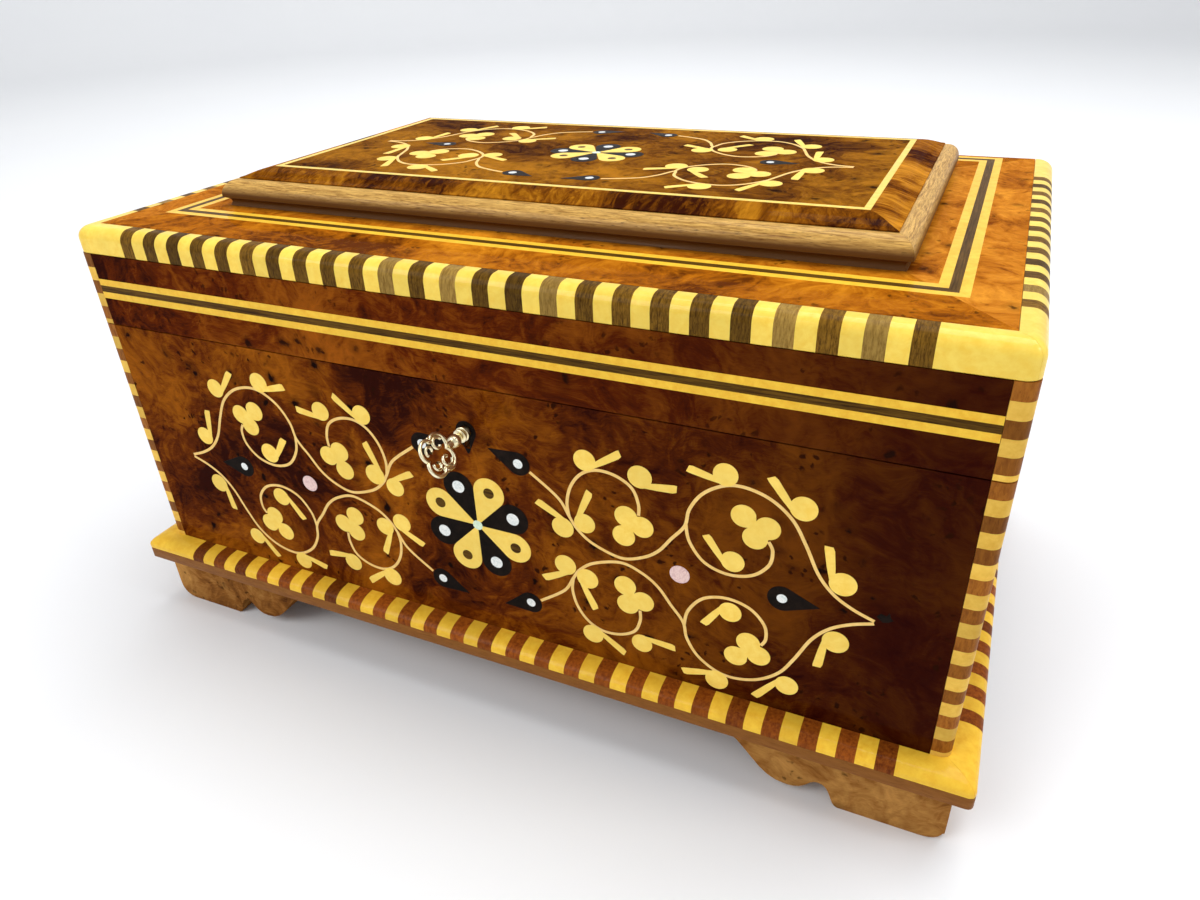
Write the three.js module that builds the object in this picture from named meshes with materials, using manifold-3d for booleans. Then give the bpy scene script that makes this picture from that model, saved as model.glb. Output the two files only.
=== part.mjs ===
// Wind-up music box in burl wood: a jewellery case with a clockwork movement, a lock and a hinged lid.
// Millimetres, +Z up, front towards -Y. The geometry is centred on the case; the exported group is moved
// back a little, so that the origin is under the middle of the whole object with the key in its lock.

import * as THREE from 'three';
import * as BufferGeometryUtils from 'three/addons/utils/BufferGeometryUtils.js';
import Module from 'manifold-3d';

const wasm = await Module();
wasm.setup();

// ---------------------------------------------------------------- driving dimensions

const WIDTH = 300;
const DEPTH = 185;
const WALL = 10;
const JOINT = 0.1;            // clearance in every glued joint
const SEAM = 0.4;             // gap between the case and the lid

const FOOT_TOP = 22.5;
const BOARD_TOP = 27;
const FLOOR_TOP = 31;
const RIM = 122.8;            // top edge of the case walls
const RAIL_TOP = 148.5;       // top of the lid's side rails, under the banding
const LID_TOP = 157.4;
const MOULDING_TOP = 166.3;
const FIELD_TOP = 169.3;

const POST = 5.6;             // corner post, across each face
const POST_ROUND = 3.2;
const BASE_OVERHANG = 7.9;
const FOOT_INSET = 5;         // from the edge of the plinth board
const LID_BAND = 6.5;

const PANEL_HALF_WIDTH = 117.6;
const PANEL_FRONT = -55.6;
const PANEL_BACK = 71.6;
const MOULDING_WIDTH = 12;

const HINGE_X = 92;           // middle of each hinge
const HINGE_WIDTH = 30;
const HINGE_Y = DEPTH / 2 + 2.3;
const HINGE_Z = RIM + SEAM / 2;

const KEY_Z = 107.8;          // height of the lock's axis
const PARTITION_X = -59;
const GLASS_Z = 80;

const HALF_W = WIDTH / 2;
const HALF_D = DEPTH / 2;
const LID_BOTTOM = RIM + SEAM;

// ---------------------------------------------------------------- materials

const burl = new THREE.MeshStandardMaterial({ color: 0x7a3513, roughness: 0.25 });
const lemonwood = new THREE.MeshStandardMaterial({ color: 0xf0c848, roughness: 0.35 });
const walnut = new THREE.MeshStandardMaterial({ color: 0x6f4a2c, roughness: 0.5 });
const plainWood = new THREE.MeshStandardMaterial({ color: 0x93602f, roughness: 0.6 });
const velvet = new THREE.MeshStandardMaterial({ color: 0x7c1020, roughness: 0.95 });
const brass = new THREE.MeshStandardMaterial({ color: 0xc9a24a, roughness: 0.3, metalness: 1 });
const steel = new THREE.MeshStandardMaterial({ color: 0xb8bcc0, roughness: 0.3, metalness: 1 });
const castZinc = new THREE.MeshStandardMaterial({ color: 0x9b9a95, roughness: 0.5, metalness: 1 });
const glass = new THREE.MeshStandardMaterial({ color: 0xdfe9ea, roughness: 0.05 });

// ---------------------------------------------------------------- geometry helpers

function block(x0, x1, y0, y1, z0, z1) {
  const geometry = new THREE.BoxGeometry(x1 - x0, y1 - y0, z1 - z0);
  return geometry.translate((x0 + x1) / 2, (y0 + y1) / 2, (z0 + z1) / 2);
}

function outline(points) {
  return new THREE.Shape(points.map(([u, v]) => new THREE.Vector2(u, v)));
}

function extrude(shape, depth, curveSegments) {
  return new THREE.ExtrudeGeometry(shape, { depth, bevelEnabled: false, curveSegments });
}

// A plan outline in x, y pushed up from z0 to z1.
function prismZ(shape, z0, z1, curveSegments = 6) {
  return extrude(shape, z1 - z0, curveSegments).translate(0, 0, z0);
}

// A side outline in y, z pushed along x from x0 to x1.
function prismX(shape, x0, x1, curveSegments = 6) {
  const geometry = extrude(shape, x1 - x0, curveSegments);
  const turn = new THREE.Matrix4().set(0, 0, 1, x0, 1, 0, 0, 0, 0, 1, 0, 0, 0, 0, 0, 1);
  return geometry.applyMatrix4(turn);
}

// A front outline in x, z pushed along y from y0 to y1.
function prismY(shape, y0, y1, curveSegments = 6) {
  const geometry = extrude(shape, y1 - y0, curveSegments);
  const turn = new THREE.Matrix4().set(1, 0, 0, 0, 0, 0, -1, y1, 0, 1, 0, 0, 0, 0, 0, 1);
  return geometry.applyMatrix4(turn);
}

// A round bar along an axis, from one coordinate to another, at (a, b) on the other two axes.
function bar(axis, from, to, a, b, radius, sides = 20) {
  const geometry = new THREE.CylinderGeometry(radius, radius, to - from, sides);
  const middle = (from + to) / 2;
  if (axis === 'x') return geometry.rotateZ(-Math.PI / 2).translate(middle, a, b);
  if (axis === 'y') return geometry.translate(a, middle, b);
  return geometry.rotateX(Math.PI / 2).translate(a, b, middle);
}

function toSolid(geometry) {
  const bare = geometry.clone();
  for (const name of Object.keys(bare.attributes)) {
    if (name !== 'position') bare.deleteAttribute(name);
  }
  const merged = BufferGeometryUtils.mergeVertices(bare, 1e-4);
  return new wasm.Manifold(new wasm.Mesh({
    numProp: 3,
    vertProperties: new Float32Array(merged.attributes.position.array),
    triVerts: new Uint32Array(merged.index.array),
  }));
}

function fromSolid(solid) {
  const mesh = solid.getMesh();
  const geometry = new THREE.BufferGeometry();
  geometry.setAttribute('position', new THREE.BufferAttribute(mesh.vertProperties, 3));
  geometry.setIndex(new THREE.BufferAttribute(mesh.triVerts, 1));
  geometry.computeVertexNormals();
  return geometry;
}

// Joins the first list of geometries and takes the second list away.
function carve(added, removed = []) {
  let solid = toSolid(added[0]);
  for (const geometry of added.slice(1)) solid = solid.add(toSolid(geometry));
  for (const geometry of removed) solid = solid.subtract(toSolid(geometry));
  return fromSolid(solid);
}

function piece(group, name, geometry, material) {
  const mesh = new THREE.Mesh(geometry, material);
  mesh.name = name;
  group.add(mesh);
  return mesh;
}

const musicBox = new THREE.Group();
const SIDES = [['left', -1], ['right', 1]];
const ENDS = [['front', -1], ['back', 1]];

// Mirrors a plan or front outline, keeping its points anticlockwise.
function mirrored(points, signX, signY) {
  const flipped = points.map(([x, y]) => [x * signX, y * signY]);
  return signX * signY < 0 ? flipped.reverse() : flipped;
}

function arcPoints(cx, cy, radius, fromDegrees, toDegrees, steps) {
  const points = [];
  for (let i = 0; i <= steps; i++) {
    const angle = THREE.MathUtils.degToRad(fromDegrees + (toDegrees - fromDegrees) * i / steps);
    points.push([cx + radius * Math.cos(angle), cy + radius * Math.sin(angle)]);
  }
  return points;
}

// A strip of a rectangular frame with mitred ends. Its profile lists [distance out from the frame line,
// height] anticlockwise; halfAlong and halfAcross are the half sizes of the frame line, and turn brings
// the strip from the front of the frame to its own side. An end named in square isn't mitred.
function mitredStrip(profile, halfAlong, halfAcross, turn = 0, square = '') {
  const start = profile.map(([v, z]) => [-halfAlong - (square === 'start' ? 0 : v), -halfAcross - v, z]);
  const end = profile.map(([v, z]) => [halfAlong + (square === 'end' ? 0 : v), -halfAcross - v, z]);
  const caps = THREE.ShapeUtils.triangulateShape(profile.map(([v, z]) => new THREE.Vector2(v, z)), []);
  const corners = [];
  for (const [a, b, c] of caps) {
    corners.push(start[a], start[b], start[c], end[c], end[b], end[a]);
  }
  profile.forEach((_, i) => {
    const j = (i + 1) % profile.length;
    corners.push(start[i], end[i], end[j], start[i], end[j], start[j]);
  });
  const geometry = new THREE.BufferGeometry();
  geometry.setAttribute('position', new THREE.Float32BufferAttribute(corners.flat(), 3));
  geometry.computeVertexNormals();
  return geometry.rotateZ(turn);
}

// ---------------------------------------------------------------- walls and posts

const POST_INNER = HALF_W - POST - JOINT;
const POST_INNER_Y = HALF_D - POST - JOINT;
const WALL_INNER_X = HALF_W - WALL;
const WALL_INNER_Y = HALF_D - WALL;

// Front or back wall between two posts.
function endWall(sign, z0, z1) {
  const [y0, y1] = sign < 0 ? [-HALF_D, -WALL_INNER_Y] : [WALL_INNER_Y, HALF_D];
  return block(-POST_INNER, POST_INNER, y0, y1, z0, z1);
}

// Side wall: its outer skin runs to the posts, its inner part butts against the front and back.
function sideWall(sign, z0, z1) {
  const innerY = WALL_INNER_Y - JOINT;
  const half = [
    [HALF_W, -POST_INNER_Y], [HALF_W, POST_INNER_Y], [POST_INNER + JOINT, POST_INNER_Y],
    [POST_INNER + JOINT, innerY], [WALL_INNER_X, innerY], [WALL_INNER_X, -innerY],
    [POST_INNER + JOINT, -innerY], [POST_INNER + JOINT, -POST_INNER_Y],
  ];
  return prismZ(outline(mirrored(half, sign, 1)), z0, z1);
}

// Square corner strip with a rounded outer edge.
function post(signX, signY, z0, z1) {
  const x = HALF_W;
  const y = HALF_D;
  const plan = [
    [x - POST, y - POST], [x, y - POST],
    ...arcPoints(x - POST_ROUND, y - POST_ROUND, POST_ROUND, 0, 90, 5),
    [x - POST, y],
  ];
  return prismZ(outline(mirrored(plan, signX, signY)), z0, z1);
}

const hingeRecess = (sign, z0, z1) => block(
  sign * HINGE_X - HINGE_WIDTH / 2 - JOINT, sign * HINGE_X + HINGE_WIDTH / 2 + JOINT,
  HALF_D - 9, HALF_D + 1, z0, z1);
const HINGE_LEAF = 1.3;

// ---------------------------------------------------------------- case

const caseGroup = new THREE.Group();
musicBox.add(caseGroup);
const wallBottom = BOARD_TOP + JOINT;

const LOCK = { halfWidth: 18, bottom: 95, front: -HALF_D + 3, back: -HALF_D + WALL };
const lockMortise = block(
  -LOCK.halfWidth - JOINT, LOCK.halfWidth + JOINT, LOCK.front - JOINT, LOCK.back + 1,
  LOCK.bottom - JOINT, RIM + 1);
const KEYHOLE = { radius: 1.9, slotHalf: 0.95, reach: 6 };
const keyhole = (y0, y1) => [
  bar('y', y0, y1, 0, KEY_Z, KEYHOLE.radius, 24),
  block(-KEYHOLE.slotHalf, KEYHOLE.slotHalf, y0, y1, KEY_Z - KEYHOLE.reach, KEY_Z),
];

piece(caseGroup, 'front_wall',
  carve([endWall(-1, wallBottom, RIM)], [lockMortise, ...keyhole(-HALF_D - 1, LOCK.front + 1)]), burl);
piece(caseGroup, 'back_wall',
  carve([endWall(1, wallBottom, RIM)],
    SIDES.map(([, sign]) => hingeRecess(sign, RIM - HINGE_LEAF - JOINT, RIM + 1))), burl);
for (const [side, sign] of SIDES) {
  piece(caseGroup, `${side}_wall`, sideWall(sign, wallBottom, RIM), burl);
  for (const [end, endSign] of ENDS) {
    piece(caseGroup, `case_post_${end}_${side}`, post(sign, endSign, wallBottom, RIM), lemonwood);
  }
}

const BARREL_X = -20;
const CYLINDER_Y = -4;
const MOVEMENT = new THREE.Vector3(-100, 0, FLOOR_TOP + JOINT);
const WINDING_HOLE = 3.2;
const windingHole = bar('z', FOOT_TOP - 1, FLOOR_TOP + 1,
  MOVEMENT.x + BARREL_X, MOVEMENT.y + CYLINDER_Y, WINDING_HOLE, 24);
piece(caseGroup, 'bottom_board', carve([
  block(-WALL_INNER_X + JOINT, WALL_INNER_X - JOINT, -WALL_INNER_Y + JOINT, WALL_INNER_Y - JOINT,
    wallBottom, FLOOR_TOP)], [windingHole]), plainWood);

const boardX = HALF_W + BASE_OVERHANG;
const boardY = HALF_D + BASE_OVERHANG;
const BOARD_ROUND = 2;
const boardPlan = [[1, 1, 0], [-1, 1, 90], [-1, -1, 180], [1, -1, 270]].flatMap(([signX, signY, from]) =>
  arcPoints(signX * (boardX - BOARD_ROUND), signY * (boardY - BOARD_ROUND), BOARD_ROUND, from, from + 90, 4));
piece(caseGroup, 'plinth_board',
  carve([prismZ(outline(boardPlan), FOOT_TOP + JOINT, BOARD_TOP)], [windingHole]), plainWood);

// The four sides of a frame of half sizes (halfX, halfY): name, turn, half along, half across.
const frameSides = (halfX, halfY) => [
  ['front', 0, halfX, halfY], ['right', Math.PI / 2, halfY, halfX],
  ['back', Math.PI, halfX, halfY], ['left', -Math.PI / 2, halfY, halfX],
];

const BASE_BAND = { edge: 1, round: { out: 5.5, up: 3.2 } };
const baseBandRound = arcPoints(0, 0, 1, 0, 90, 6).map(([c, s]) => [
  BASE_OVERHANG - BASE_BAND.round.out * (1 - c), BOARD_TOP + BASE_BAND.edge + BASE_BAND.round.up * s,
]);
const baseBandProfile = [
  [JOINT, BOARD_TOP + JOINT], [BASE_OVERHANG, BOARD_TOP + JOINT], ...baseBandRound,
  [JOINT, BOARD_TOP + BASE_BAND.edge + BASE_BAND.round.up],
];
for (const [side, turn, halfAlong, halfAcross] of frameSides(HALF_W, HALF_D)) {
  piece(caseGroup, `base_band_${side}`,
    mitredStrip(baseBandProfile, halfAlong - JOINT, halfAcross, turn), lemonwood);
}

// Bracket foot, one leg of the L: scalloped outline from the outer corner to the middle.
const FOOT_THICK = 9;
const FOOT_ROUND = 7;
const FOOT_LENGTH_X = 72;
const FOOT_LENGTH_Y = 54;
function footOutline(length) {
  const shape = new THREE.Shape();
  shape.moveTo(0, FOOT_TOP);
  shape.lineTo(0, FOOT_ROUND);
  shape.quadraticCurveTo(0, 0, FOOT_ROUND, 0);
  shape.lineTo(length * 0.43, 0);
  shape.bezierCurveTo(length * 0.47, 0.5, length * 0.46, 8.2, length * 0.52, 8.4);
  shape.bezierCurveTo(length * 0.57, 8.4, length * 0.56, 3.4, length * 0.65, 3.2);
  shape.bezierCurveTo(length * 0.8, 3.2, length * 0.8, 14, length, FOOT_TOP);
  shape.closePath();
  return shape;
}
function bracketFoot(signX, signY) {
  const cornerX = boardX - FOOT_INSET;
  const cornerY = boardY - FOOT_INSET;
  const along = prismY(footOutline(FOOT_LENGTH_X), 0, FOOT_THICK, 8);
  const across = prismY(footOutline(FOOT_LENGTH_Y), 0, FOOT_THICK, 8)
    .rotateZ(Math.PI / 2).translate(FOOT_THICK, 0, 0);
  const foot = toSolid(carve([along, across])).scale([-signX, -signY, 1]);
  return fromSolid(foot).translate(signX * cornerX, signY * cornerY, 0);
}
for (const [side, signX] of SIDES) {
  for (const [end, signY] of ENDS) {
    piece(caseGroup, `foot_${end}_${side}`, bracketFoot(signX, signY), burl);
  }
}

// ---------------------------------------------------------------- inside the case

const PARTITION_HALF = 3;
const GROOVE = { depth: 1.5, height: 3 };
const INNER_GAP = 0.2;
const INNER_TOP = RIM - 4;
const insideX = WALL_INNER_X - INNER_GAP;
const insideY = WALL_INNER_Y - INNER_GAP;
const LEDGE = 4;
piece(caseGroup, 'partition', carve(
  [block(PARTITION_X - PARTITION_HALF, PARTITION_X + PARTITION_HALF, -insideY, insideY,
    FLOOR_TOP + JOINT, INNER_TOP)],
  [block(PARTITION_X - PARTITION_HALF - 1, PARTITION_X - PARTITION_HALF + GROOVE.depth,
    -insideY - 1, insideY + 1, GLASS_Z, GLASS_Z + GROOVE.height)]), plainWood);
piece(caseGroup, 'glass_ledge',
  block(-insideX, -insideX + LEDGE, -insideY, insideY, GLASS_Z - 5, GLASS_Z - JOINT), plainWood);

const STOP_ROD = { x: -133, y: 58, radius: 1.1 };
const GLASS_GAP = 0.4;
const glassRight = PARTITION_X - PARTITION_HALF + GROOVE.depth - GLASS_GAP;
piece(caseGroup, 'cover_glass', carve(
  [block(-insideX + GLASS_GAP, glassRight, -insideY + GLASS_GAP, insideY - GLASS_GAP,
    GLASS_Z + JOINT, GLASS_Z + GROOVE.height - GLASS_GAP)],
  [bar('z', GLASS_Z - 1, GLASS_Z + 4, STOP_ROD.x, STOP_ROD.y, 2)]), glass);

// The lining is a tray with a soft floor and a notch that clears the back of the lock.
const liningLeft = PARTITION_X + PARTITION_HALF + INNER_GAP;
const LINING = 1.6;
const LINING_FLOOR = 5;
piece(caseGroup, 'compartment_lining', carve(
  [block(liningLeft, insideX, -insideY, insideY, FLOOR_TOP + JOINT, INNER_TOP)],
  [
    block(liningLeft + LINING, insideX - LINING, -insideY + LINING, insideY - LINING,
      FLOOR_TOP + LINING_FLOOR, RIM),
    block(-LOCK.halfWidth - 1, LOCK.halfWidth + 1, -insideY - 1, -insideY + LINING + 1,
      LOCK.bottom - 1, RIM),
  ]), velvet);

// ---------------------------------------------------------------- lid

const lidGroup = new THREE.Group();
musicBox.add(lidGroup);
const STRIKE = { halfWidth: 14, front: LOCK.front + 0.5, back: LOCK.back - 0.2, thick: 1.2 };
piece(lidGroup, 'lid_front_rail', carve([endWall(-1, LID_BOTTOM, RAIL_TOP)],
  [block(-STRIKE.halfWidth - JOINT, STRIKE.halfWidth + JOINT, STRIKE.front - JOINT, LOCK.back + 1,
    LID_BOTTOM - 1, LID_BOTTOM + STRIKE.thick + JOINT)]), burl);
piece(lidGroup, 'lid_back_rail', carve([endWall(1, LID_BOTTOM, RAIL_TOP)],
  SIDES.map(([, sign]) => hingeRecess(sign, LID_BOTTOM - 1, LID_BOTTOM + HINGE_LEAF + JOINT))), burl);
for (const [side, sign] of SIDES) {
  piece(lidGroup, `lid_${side}_rail`, sideWall(sign, LID_BOTTOM, RAIL_TOP), burl);
  for (const [end, endSign] of ENDS) {
    piece(lidGroup, `lid_post_${end}_${side}`, post(sign, endSign, LID_BOTTOM, RAIL_TOP), lemonwood);
  }
}

const topX = HALF_W - LID_BAND - JOINT;
piece(lidGroup, 'lid_top', block(-topX, topX, -HALF_D + LID_BAND + JOINT, HALF_D,
  RAIL_TOP + JOINT, LID_TOP), burl);

const LID_ROUND = 4;
const lidBandProfile = [
  [-LID_BAND, RAIL_TOP + JOINT], [0, RAIL_TOP + JOINT],
  ...arcPoints(-LID_ROUND, LID_TOP - LID_ROUND, LID_ROUND, 0, 90, 8), [-LID_BAND, LID_TOP],
];
const lidBandSquareEnd = { front: '', right: 'end', left: 'start' };
for (const [side, turn, halfAlong, halfAcross] of frameSides(HALF_W, HALF_D)) {
  if (side === 'back') continue;
  piece(lidGroup, `lid_band_${side}`,
    mitredStrip(lidBandProfile, halfAlong - JOINT / 2, halfAcross, turn, lidBandSquareEnd[side]), lemonwood);
}

const panelMiddleY = (PANEL_FRONT + PANEL_BACK) / 2;
const panelHalfY = (PANEL_BACK - PANEL_FRONT) / 2;
const MOULDING_ROUND = 5;
const MOULDING_UNDERCUT = 2;
const mouldingProfile = [
  [-MOULDING_WIDTH, LID_TOP + JOINT], [-MOULDING_UNDERCUT, LID_TOP + JOINT],
  [-MOULDING_UNDERCUT, LID_TOP + 1.6],
  ...arcPoints(-MOULDING_ROUND, MOULDING_TOP - MOULDING_ROUND, MOULDING_ROUND, -8, 90, 7),
  [-MOULDING_WIDTH, MOULDING_TOP],
];
for (const [side, turn, halfAlong, halfAcross] of frameSides(PANEL_HALF_WIDTH, panelHalfY)) {
  piece(lidGroup, `moulding_${side}`,
    mitredStrip(mouldingProfile, halfAlong - JOINT / 2, halfAcross, turn).translate(0, panelMiddleY, 0),
    walnut);
}

// Raised panel: a plain block inside the moulding, with a bevelled margin around a flat field on top.
const fieldInset = 14.2;
const marginInset = 5.2;
const marginEdge = 0.5;
function raisedPanel() {
  const level = (inset, z) => [
    [-PANEL_HALF_WIDTH + inset, PANEL_FRONT + inset, z], [PANEL_HALF_WIDTH - inset, PANEL_FRONT + inset, z],
    [PANEL_HALF_WIDTH - inset, PANEL_BACK - inset, z], [-PANEL_HALF_WIDTH + inset, PANEL_BACK - inset, z],
  ];
  const rings = [
    level(MOULDING_WIDTH + JOINT, LID_TOP + JOINT), level(MOULDING_WIDTH + JOINT, MOULDING_TOP + JOINT),
    level(marginInset, MOULDING_TOP + JOINT), level(marginInset, MOULDING_TOP + JOINT + marginEdge),
    level(fieldInset, FIELD_TOP),
  ];
  const corners = [rings[0][0], rings[0][2], rings[0][1], rings[0][0], rings[0][3], rings[0][2]];
  for (let r = 0; r + 1 < rings.length; r++) {
    for (let i = 0; i < 4; i++) {
      const j = (i + 1) % 4;
      const [a, b, c, d] = [rings[r][i], rings[r][j], rings[r + 1][j], rings[r + 1][i]];
      corners.push(a, b, c, a, c, d);
    }
  }
  const top = rings[rings.length - 1];
  corners.push(top[0], top[1], top[2], top[0], top[2], top[3]);
  const geometry = new THREE.BufferGeometry();
  geometry.setAttribute('position', new THREE.Float32BufferAttribute(corners.flat(), 3));
  geometry.computeVertexNormals();
  return geometry;
}
piece(lidGroup, 'raised_panel', raisedPanel(), burl);

const lidLiningBottom = RAIL_TOP - 3;
piece(lidGroup, 'lid_lining', block(-insideX, insideX, -insideY, insideY, lidLiningBottom, RAIL_TOP), velvet);

// ---------------------------------------------------------------- hinges

const KNUCKLE = 2;
const PIN = 0.9;
const PIN_CLEARANCE = 0.15;
const END_KNUCKLE = 8;
const KNUCKLE_GAP = 0.2;
function hingeLeaf(sign, z0, z1, knuckleSpan, rootY) {
  const left = sign * HINGE_X - HINGE_WIDTH / 2;
  return [
    block(left, left + HINGE_WIDTH, HALF_D - 8.8, rootY, z0, z1),
    ...knuckleSpan.map(([a, b]) => block(left + a, left + b, rootY - 1, HINGE_Y, z0, z1)),
    ...knuckleSpan.map(([a, b]) => bar('x', left + a, left + b, HINGE_Y, HINGE_Z, KNUCKLE, 20)),
  ];
}
const leafRootY = HALF_D - 0.2;
const endSpans = [[0, END_KNUCKLE], [HINGE_WIDTH - END_KNUCKLE, HINGE_WIDTH]];
const middleSpan = [[END_KNUCKLE + KNUCKLE_GAP, HINGE_WIDTH - END_KNUCKLE - KNUCKLE_GAP]];
for (const [side, sign] of SIDES) {
  const left = sign * HINGE_X - HINGE_WIDTH / 2;
  const pin = bar('x', left, left + HINGE_WIDTH, HINGE_Y, HINGE_Z, PIN, 16);
  const bore = bar('x', left, left + HINGE_WIDTH, HINGE_Y, HINGE_Z, PIN + PIN_CLEARANCE, 16);
  piece(caseGroup, `hinge_case_leaf_${side}`, carve(
    [...hingeLeaf(sign, RIM - HINGE_LEAF, RIM, endSpans, leafRootY), pin]), brass);
  piece(lidGroup, `hinge_lid_leaf_${side}`, carve(
    hingeLeaf(sign, LID_BOTTOM, LID_BOTTOM + HINGE_LEAF, middleSpan, leafRootY), [bore]), brass);
}

// ---------------------------------------------------------------- lock and key

const lockGroup = new THREE.Group();
musicBox.add(lockGroup);
const LOCK_WALL = 1.2;
const BOLT = { bottom: KEY_Z + 6.6, top: KEY_Z + 11, left: -13, right: 2, noseEnd: 6.6, gap: 0.3 };
const SELVEDGE_SLOT = { left: 6, right: 12.5, half: 2.4 };   // the strike's link drops through it
const lockInside = { front: LOCK.front + LOCK_WALL, back: LOCK.back - LOCK_WALL };
const lockMiddleY = (lockInside.front + lockInside.back) / 2;
piece(lockGroup, 'lock_case', carve(
  [block(-LOCK.halfWidth, LOCK.halfWidth, LOCK.front, LOCK.back, LOCK.bottom, RIM)],
  [
    block(-LOCK.halfWidth + LOCK_WALL, LOCK.halfWidth - LOCK_WALL, lockInside.front, lockInside.back,
      LOCK.bottom + LOCK_WALL, RIM - LOCK_WALL),
    block(SELVEDGE_SLOT.left, SELVEDGE_SLOT.right, lockMiddleY - SELVEDGE_SLOT.half,
      lockMiddleY + SELVEDGE_SLOT.half, RIM - 2, RIM + 1),
    ...keyhole(LOCK.front - 1, lockInside.front + 0.5),
  ]), brass);
piece(lockGroup, 'lock_bolt', carve([
  block(BOLT.left, BOLT.right, lockInside.front + BOLT.gap, lockInside.back - BOLT.gap,
    BOLT.bottom, BOLT.top),
  block(BOLT.right - 1, BOLT.noseEnd, lockMiddleY - 0.7, lockMiddleY + 0.7, BOLT.bottom + 0.8,
    BOLT.top - 0.6),
]), brass);

// A ring with a slot below: the key's bit slides in along the slot and turns the ring.
const FOLLOWER = { radius: 4.4, bore: 1.6, slotHalf: 0.9 };
piece(lockGroup, 'lock_follower', carve(
  [bar('y', lockInside.front + 0.4, lockInside.back - 0.3, 0, KEY_Z, FOLLOWER.radius, 24)],
  [
    bar('y', lockInside.front - 1, lockInside.back + 1, 0, KEY_Z, FOLLOWER.bore, 20),
    block(-FOLLOWER.slotHalf, FOLLOWER.slotHalf, lockInside.front - 1, lockInside.back + 1,
      KEY_Z - FOLLOWER.radius - 1, KEY_Z),
  ]), brass);

// Key: shank and bit in the lock, ringed collars, and an openwork bow of four rings. The bow's plane is
// turned about the shank, its upper rings to the left.
const KEY = { shank: 1.3, neck: 0.9, bitHalf: 0.6, bitReach: 5.4, tip: lockInside.back - 0.5 };
const BOW = { y: -HALF_D - 15.3, wire: 0.7, ring: 2.7, spread: 2.9, rise: 3.3, turn: -Math.PI / 6 };
const COLLARS = [[1.4, 2.4, 2.3], [2.8, 3.8, 2.2], [4.7, 7.9, 2.1]];   // near, far from the front, radius
const BOW_QUARTERS = [[-1, -1], [-1, 1], [1, -1], [1, 1]];
function bowRing(y, z) {
  const ring = new THREE.TorusGeometry(BOW.ring, BOW.wire, 8, 20).rotateY(Math.PI / 2).translate(0, y, z);
  return ring.rotateY(BOW.turn).translate(0, 0, KEY_Z);
}
piece(lockGroup, 'key', carve([
  bar('y', -HALF_D - 8.5, KEY.tip, 0, KEY_Z, KEY.shank, 16),
  block(-KEY.bitHalf, KEY.bitHalf, lockInside.front + 0.8, KEY.tip, KEY_Z - KEY.bitReach, KEY_Z),
  ...COLLARS.map(([near, far, radius]) => bar('y', -HALF_D - far, -HALF_D - near, 0, KEY_Z, radius, 16)),
  ...BOW_QUARTERS.map(([y, z]) => bowRing(BOW.y + y * BOW.spread, z * BOW.rise)),
  bar('y', BOW.y, -HALF_D - 8, 0, KEY_Z, KEY.neck, 12),
]), brass);

// Strike on the lid: a plate let into the rail and a link with a window for the bolt's nose.
const LINK = { left: 8.2, right: 9.8, half: 2, window: 1.1, bottom: BOLT.bottom - 1.4 };
piece(lidGroup, 'lock_strike', carve([
  block(-STRIKE.halfWidth, STRIKE.halfWidth, STRIKE.front, STRIKE.back, LID_BOTTOM,
    LID_BOTTOM + STRIKE.thick),
  block(LINK.left, LINK.right, lockMiddleY - LINK.half, lockMiddleY + LINK.half, LINK.bottom,
    LID_BOTTOM + STRIKE.thick / 2),
], [
  block(LINK.left - 1, LINK.right + 1, lockMiddleY - LINK.window, lockMiddleY + LINK.window,
    BOLT.bottom + 0.4, BOLT.top - 0.2),
]), brass);

// ---------------------------------------------------------------- movement

// In its own frame: x along the cylinder, z up from the floor board.
const movement = new THREE.Group();
movement.position.copy(MOVEMENT);
musicBox.add(movement);

// A toothed outline around (0, 0), with a tooth pointing at angle phase.
function gearOutline(teeth, pitchRadius, addendum, dedendum, phase) {
  const points = [];
  for (let i = 0; i < teeth; i++) {
    const middle = phase + 2 * Math.PI * i / teeth;
    const pitch = 2 * Math.PI / teeth;
    for (const [share, radius] of [[-0.24, -dedendum], [-0.12, addendum], [0.12, addendum],
      [0.24, -dedendum]]) {
      const angle = middle + share * pitch;
      points.push([(pitchRadius + radius) * Math.cos(angle), (pitchRadius + radius) * Math.sin(angle)]);
    }
  }
  return outline(points);
}

const CROWN_TEETH = 48;
const CROWN_RADIUS = 11.5;
const BARREL_TOP = 11;
const CROWN_HEIGHT = 1.4;
const DRIVEN_TEETH = 12;
const DRIVEN_RADIUS = CROWN_RADIUS * DRIVEN_TEETH / CROWN_TEETH;
const CYLINDER_Z = BARREL_TOP + CROWN_HEIGHT / 2 + DRIVEN_RADIUS;
const WHEEL_TEETH = 32;
const WHEEL_RADIUS = 8;
const PINION_TEETH = 8;
const PINION_RADIUS = WHEEL_RADIUS * PINION_TEETH / WHEEL_TEETH;
const GOVERNOR_Y = CYLINDER_Y + WHEEL_RADIUS + PINION_RADIUS;
const GOVERNOR_WHEEL_RADIUS = 5.5;
const GOVERNOR_WHEEL_TEETH = 24;
const FAN_X = 25.9;
const FAN_Y = GOVERNOR_Y + GOVERNOR_WHEEL_RADIUS + 1.9;
const DRUM = { left: -4, right: 24, radius: 6.5 };
const UPRIGHT_LEFT = [-7, -5];
const UPRIGHT_RIGHT = [31, 34];
const UPRIGHT_MIDDLE = [20.5, 22.5];
const PLATE = 3;
const CROWN_CLEARANCE = 0.2;   // the wheel on the crown has this much deeper tooth spaces
const ARBOR = { cylinder: 1.1, governor: 0.65, clearance: 0.2, fan: 0.45 };
const TOOTH = { addendum: 0.4, dedendum: 0.6 };

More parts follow.
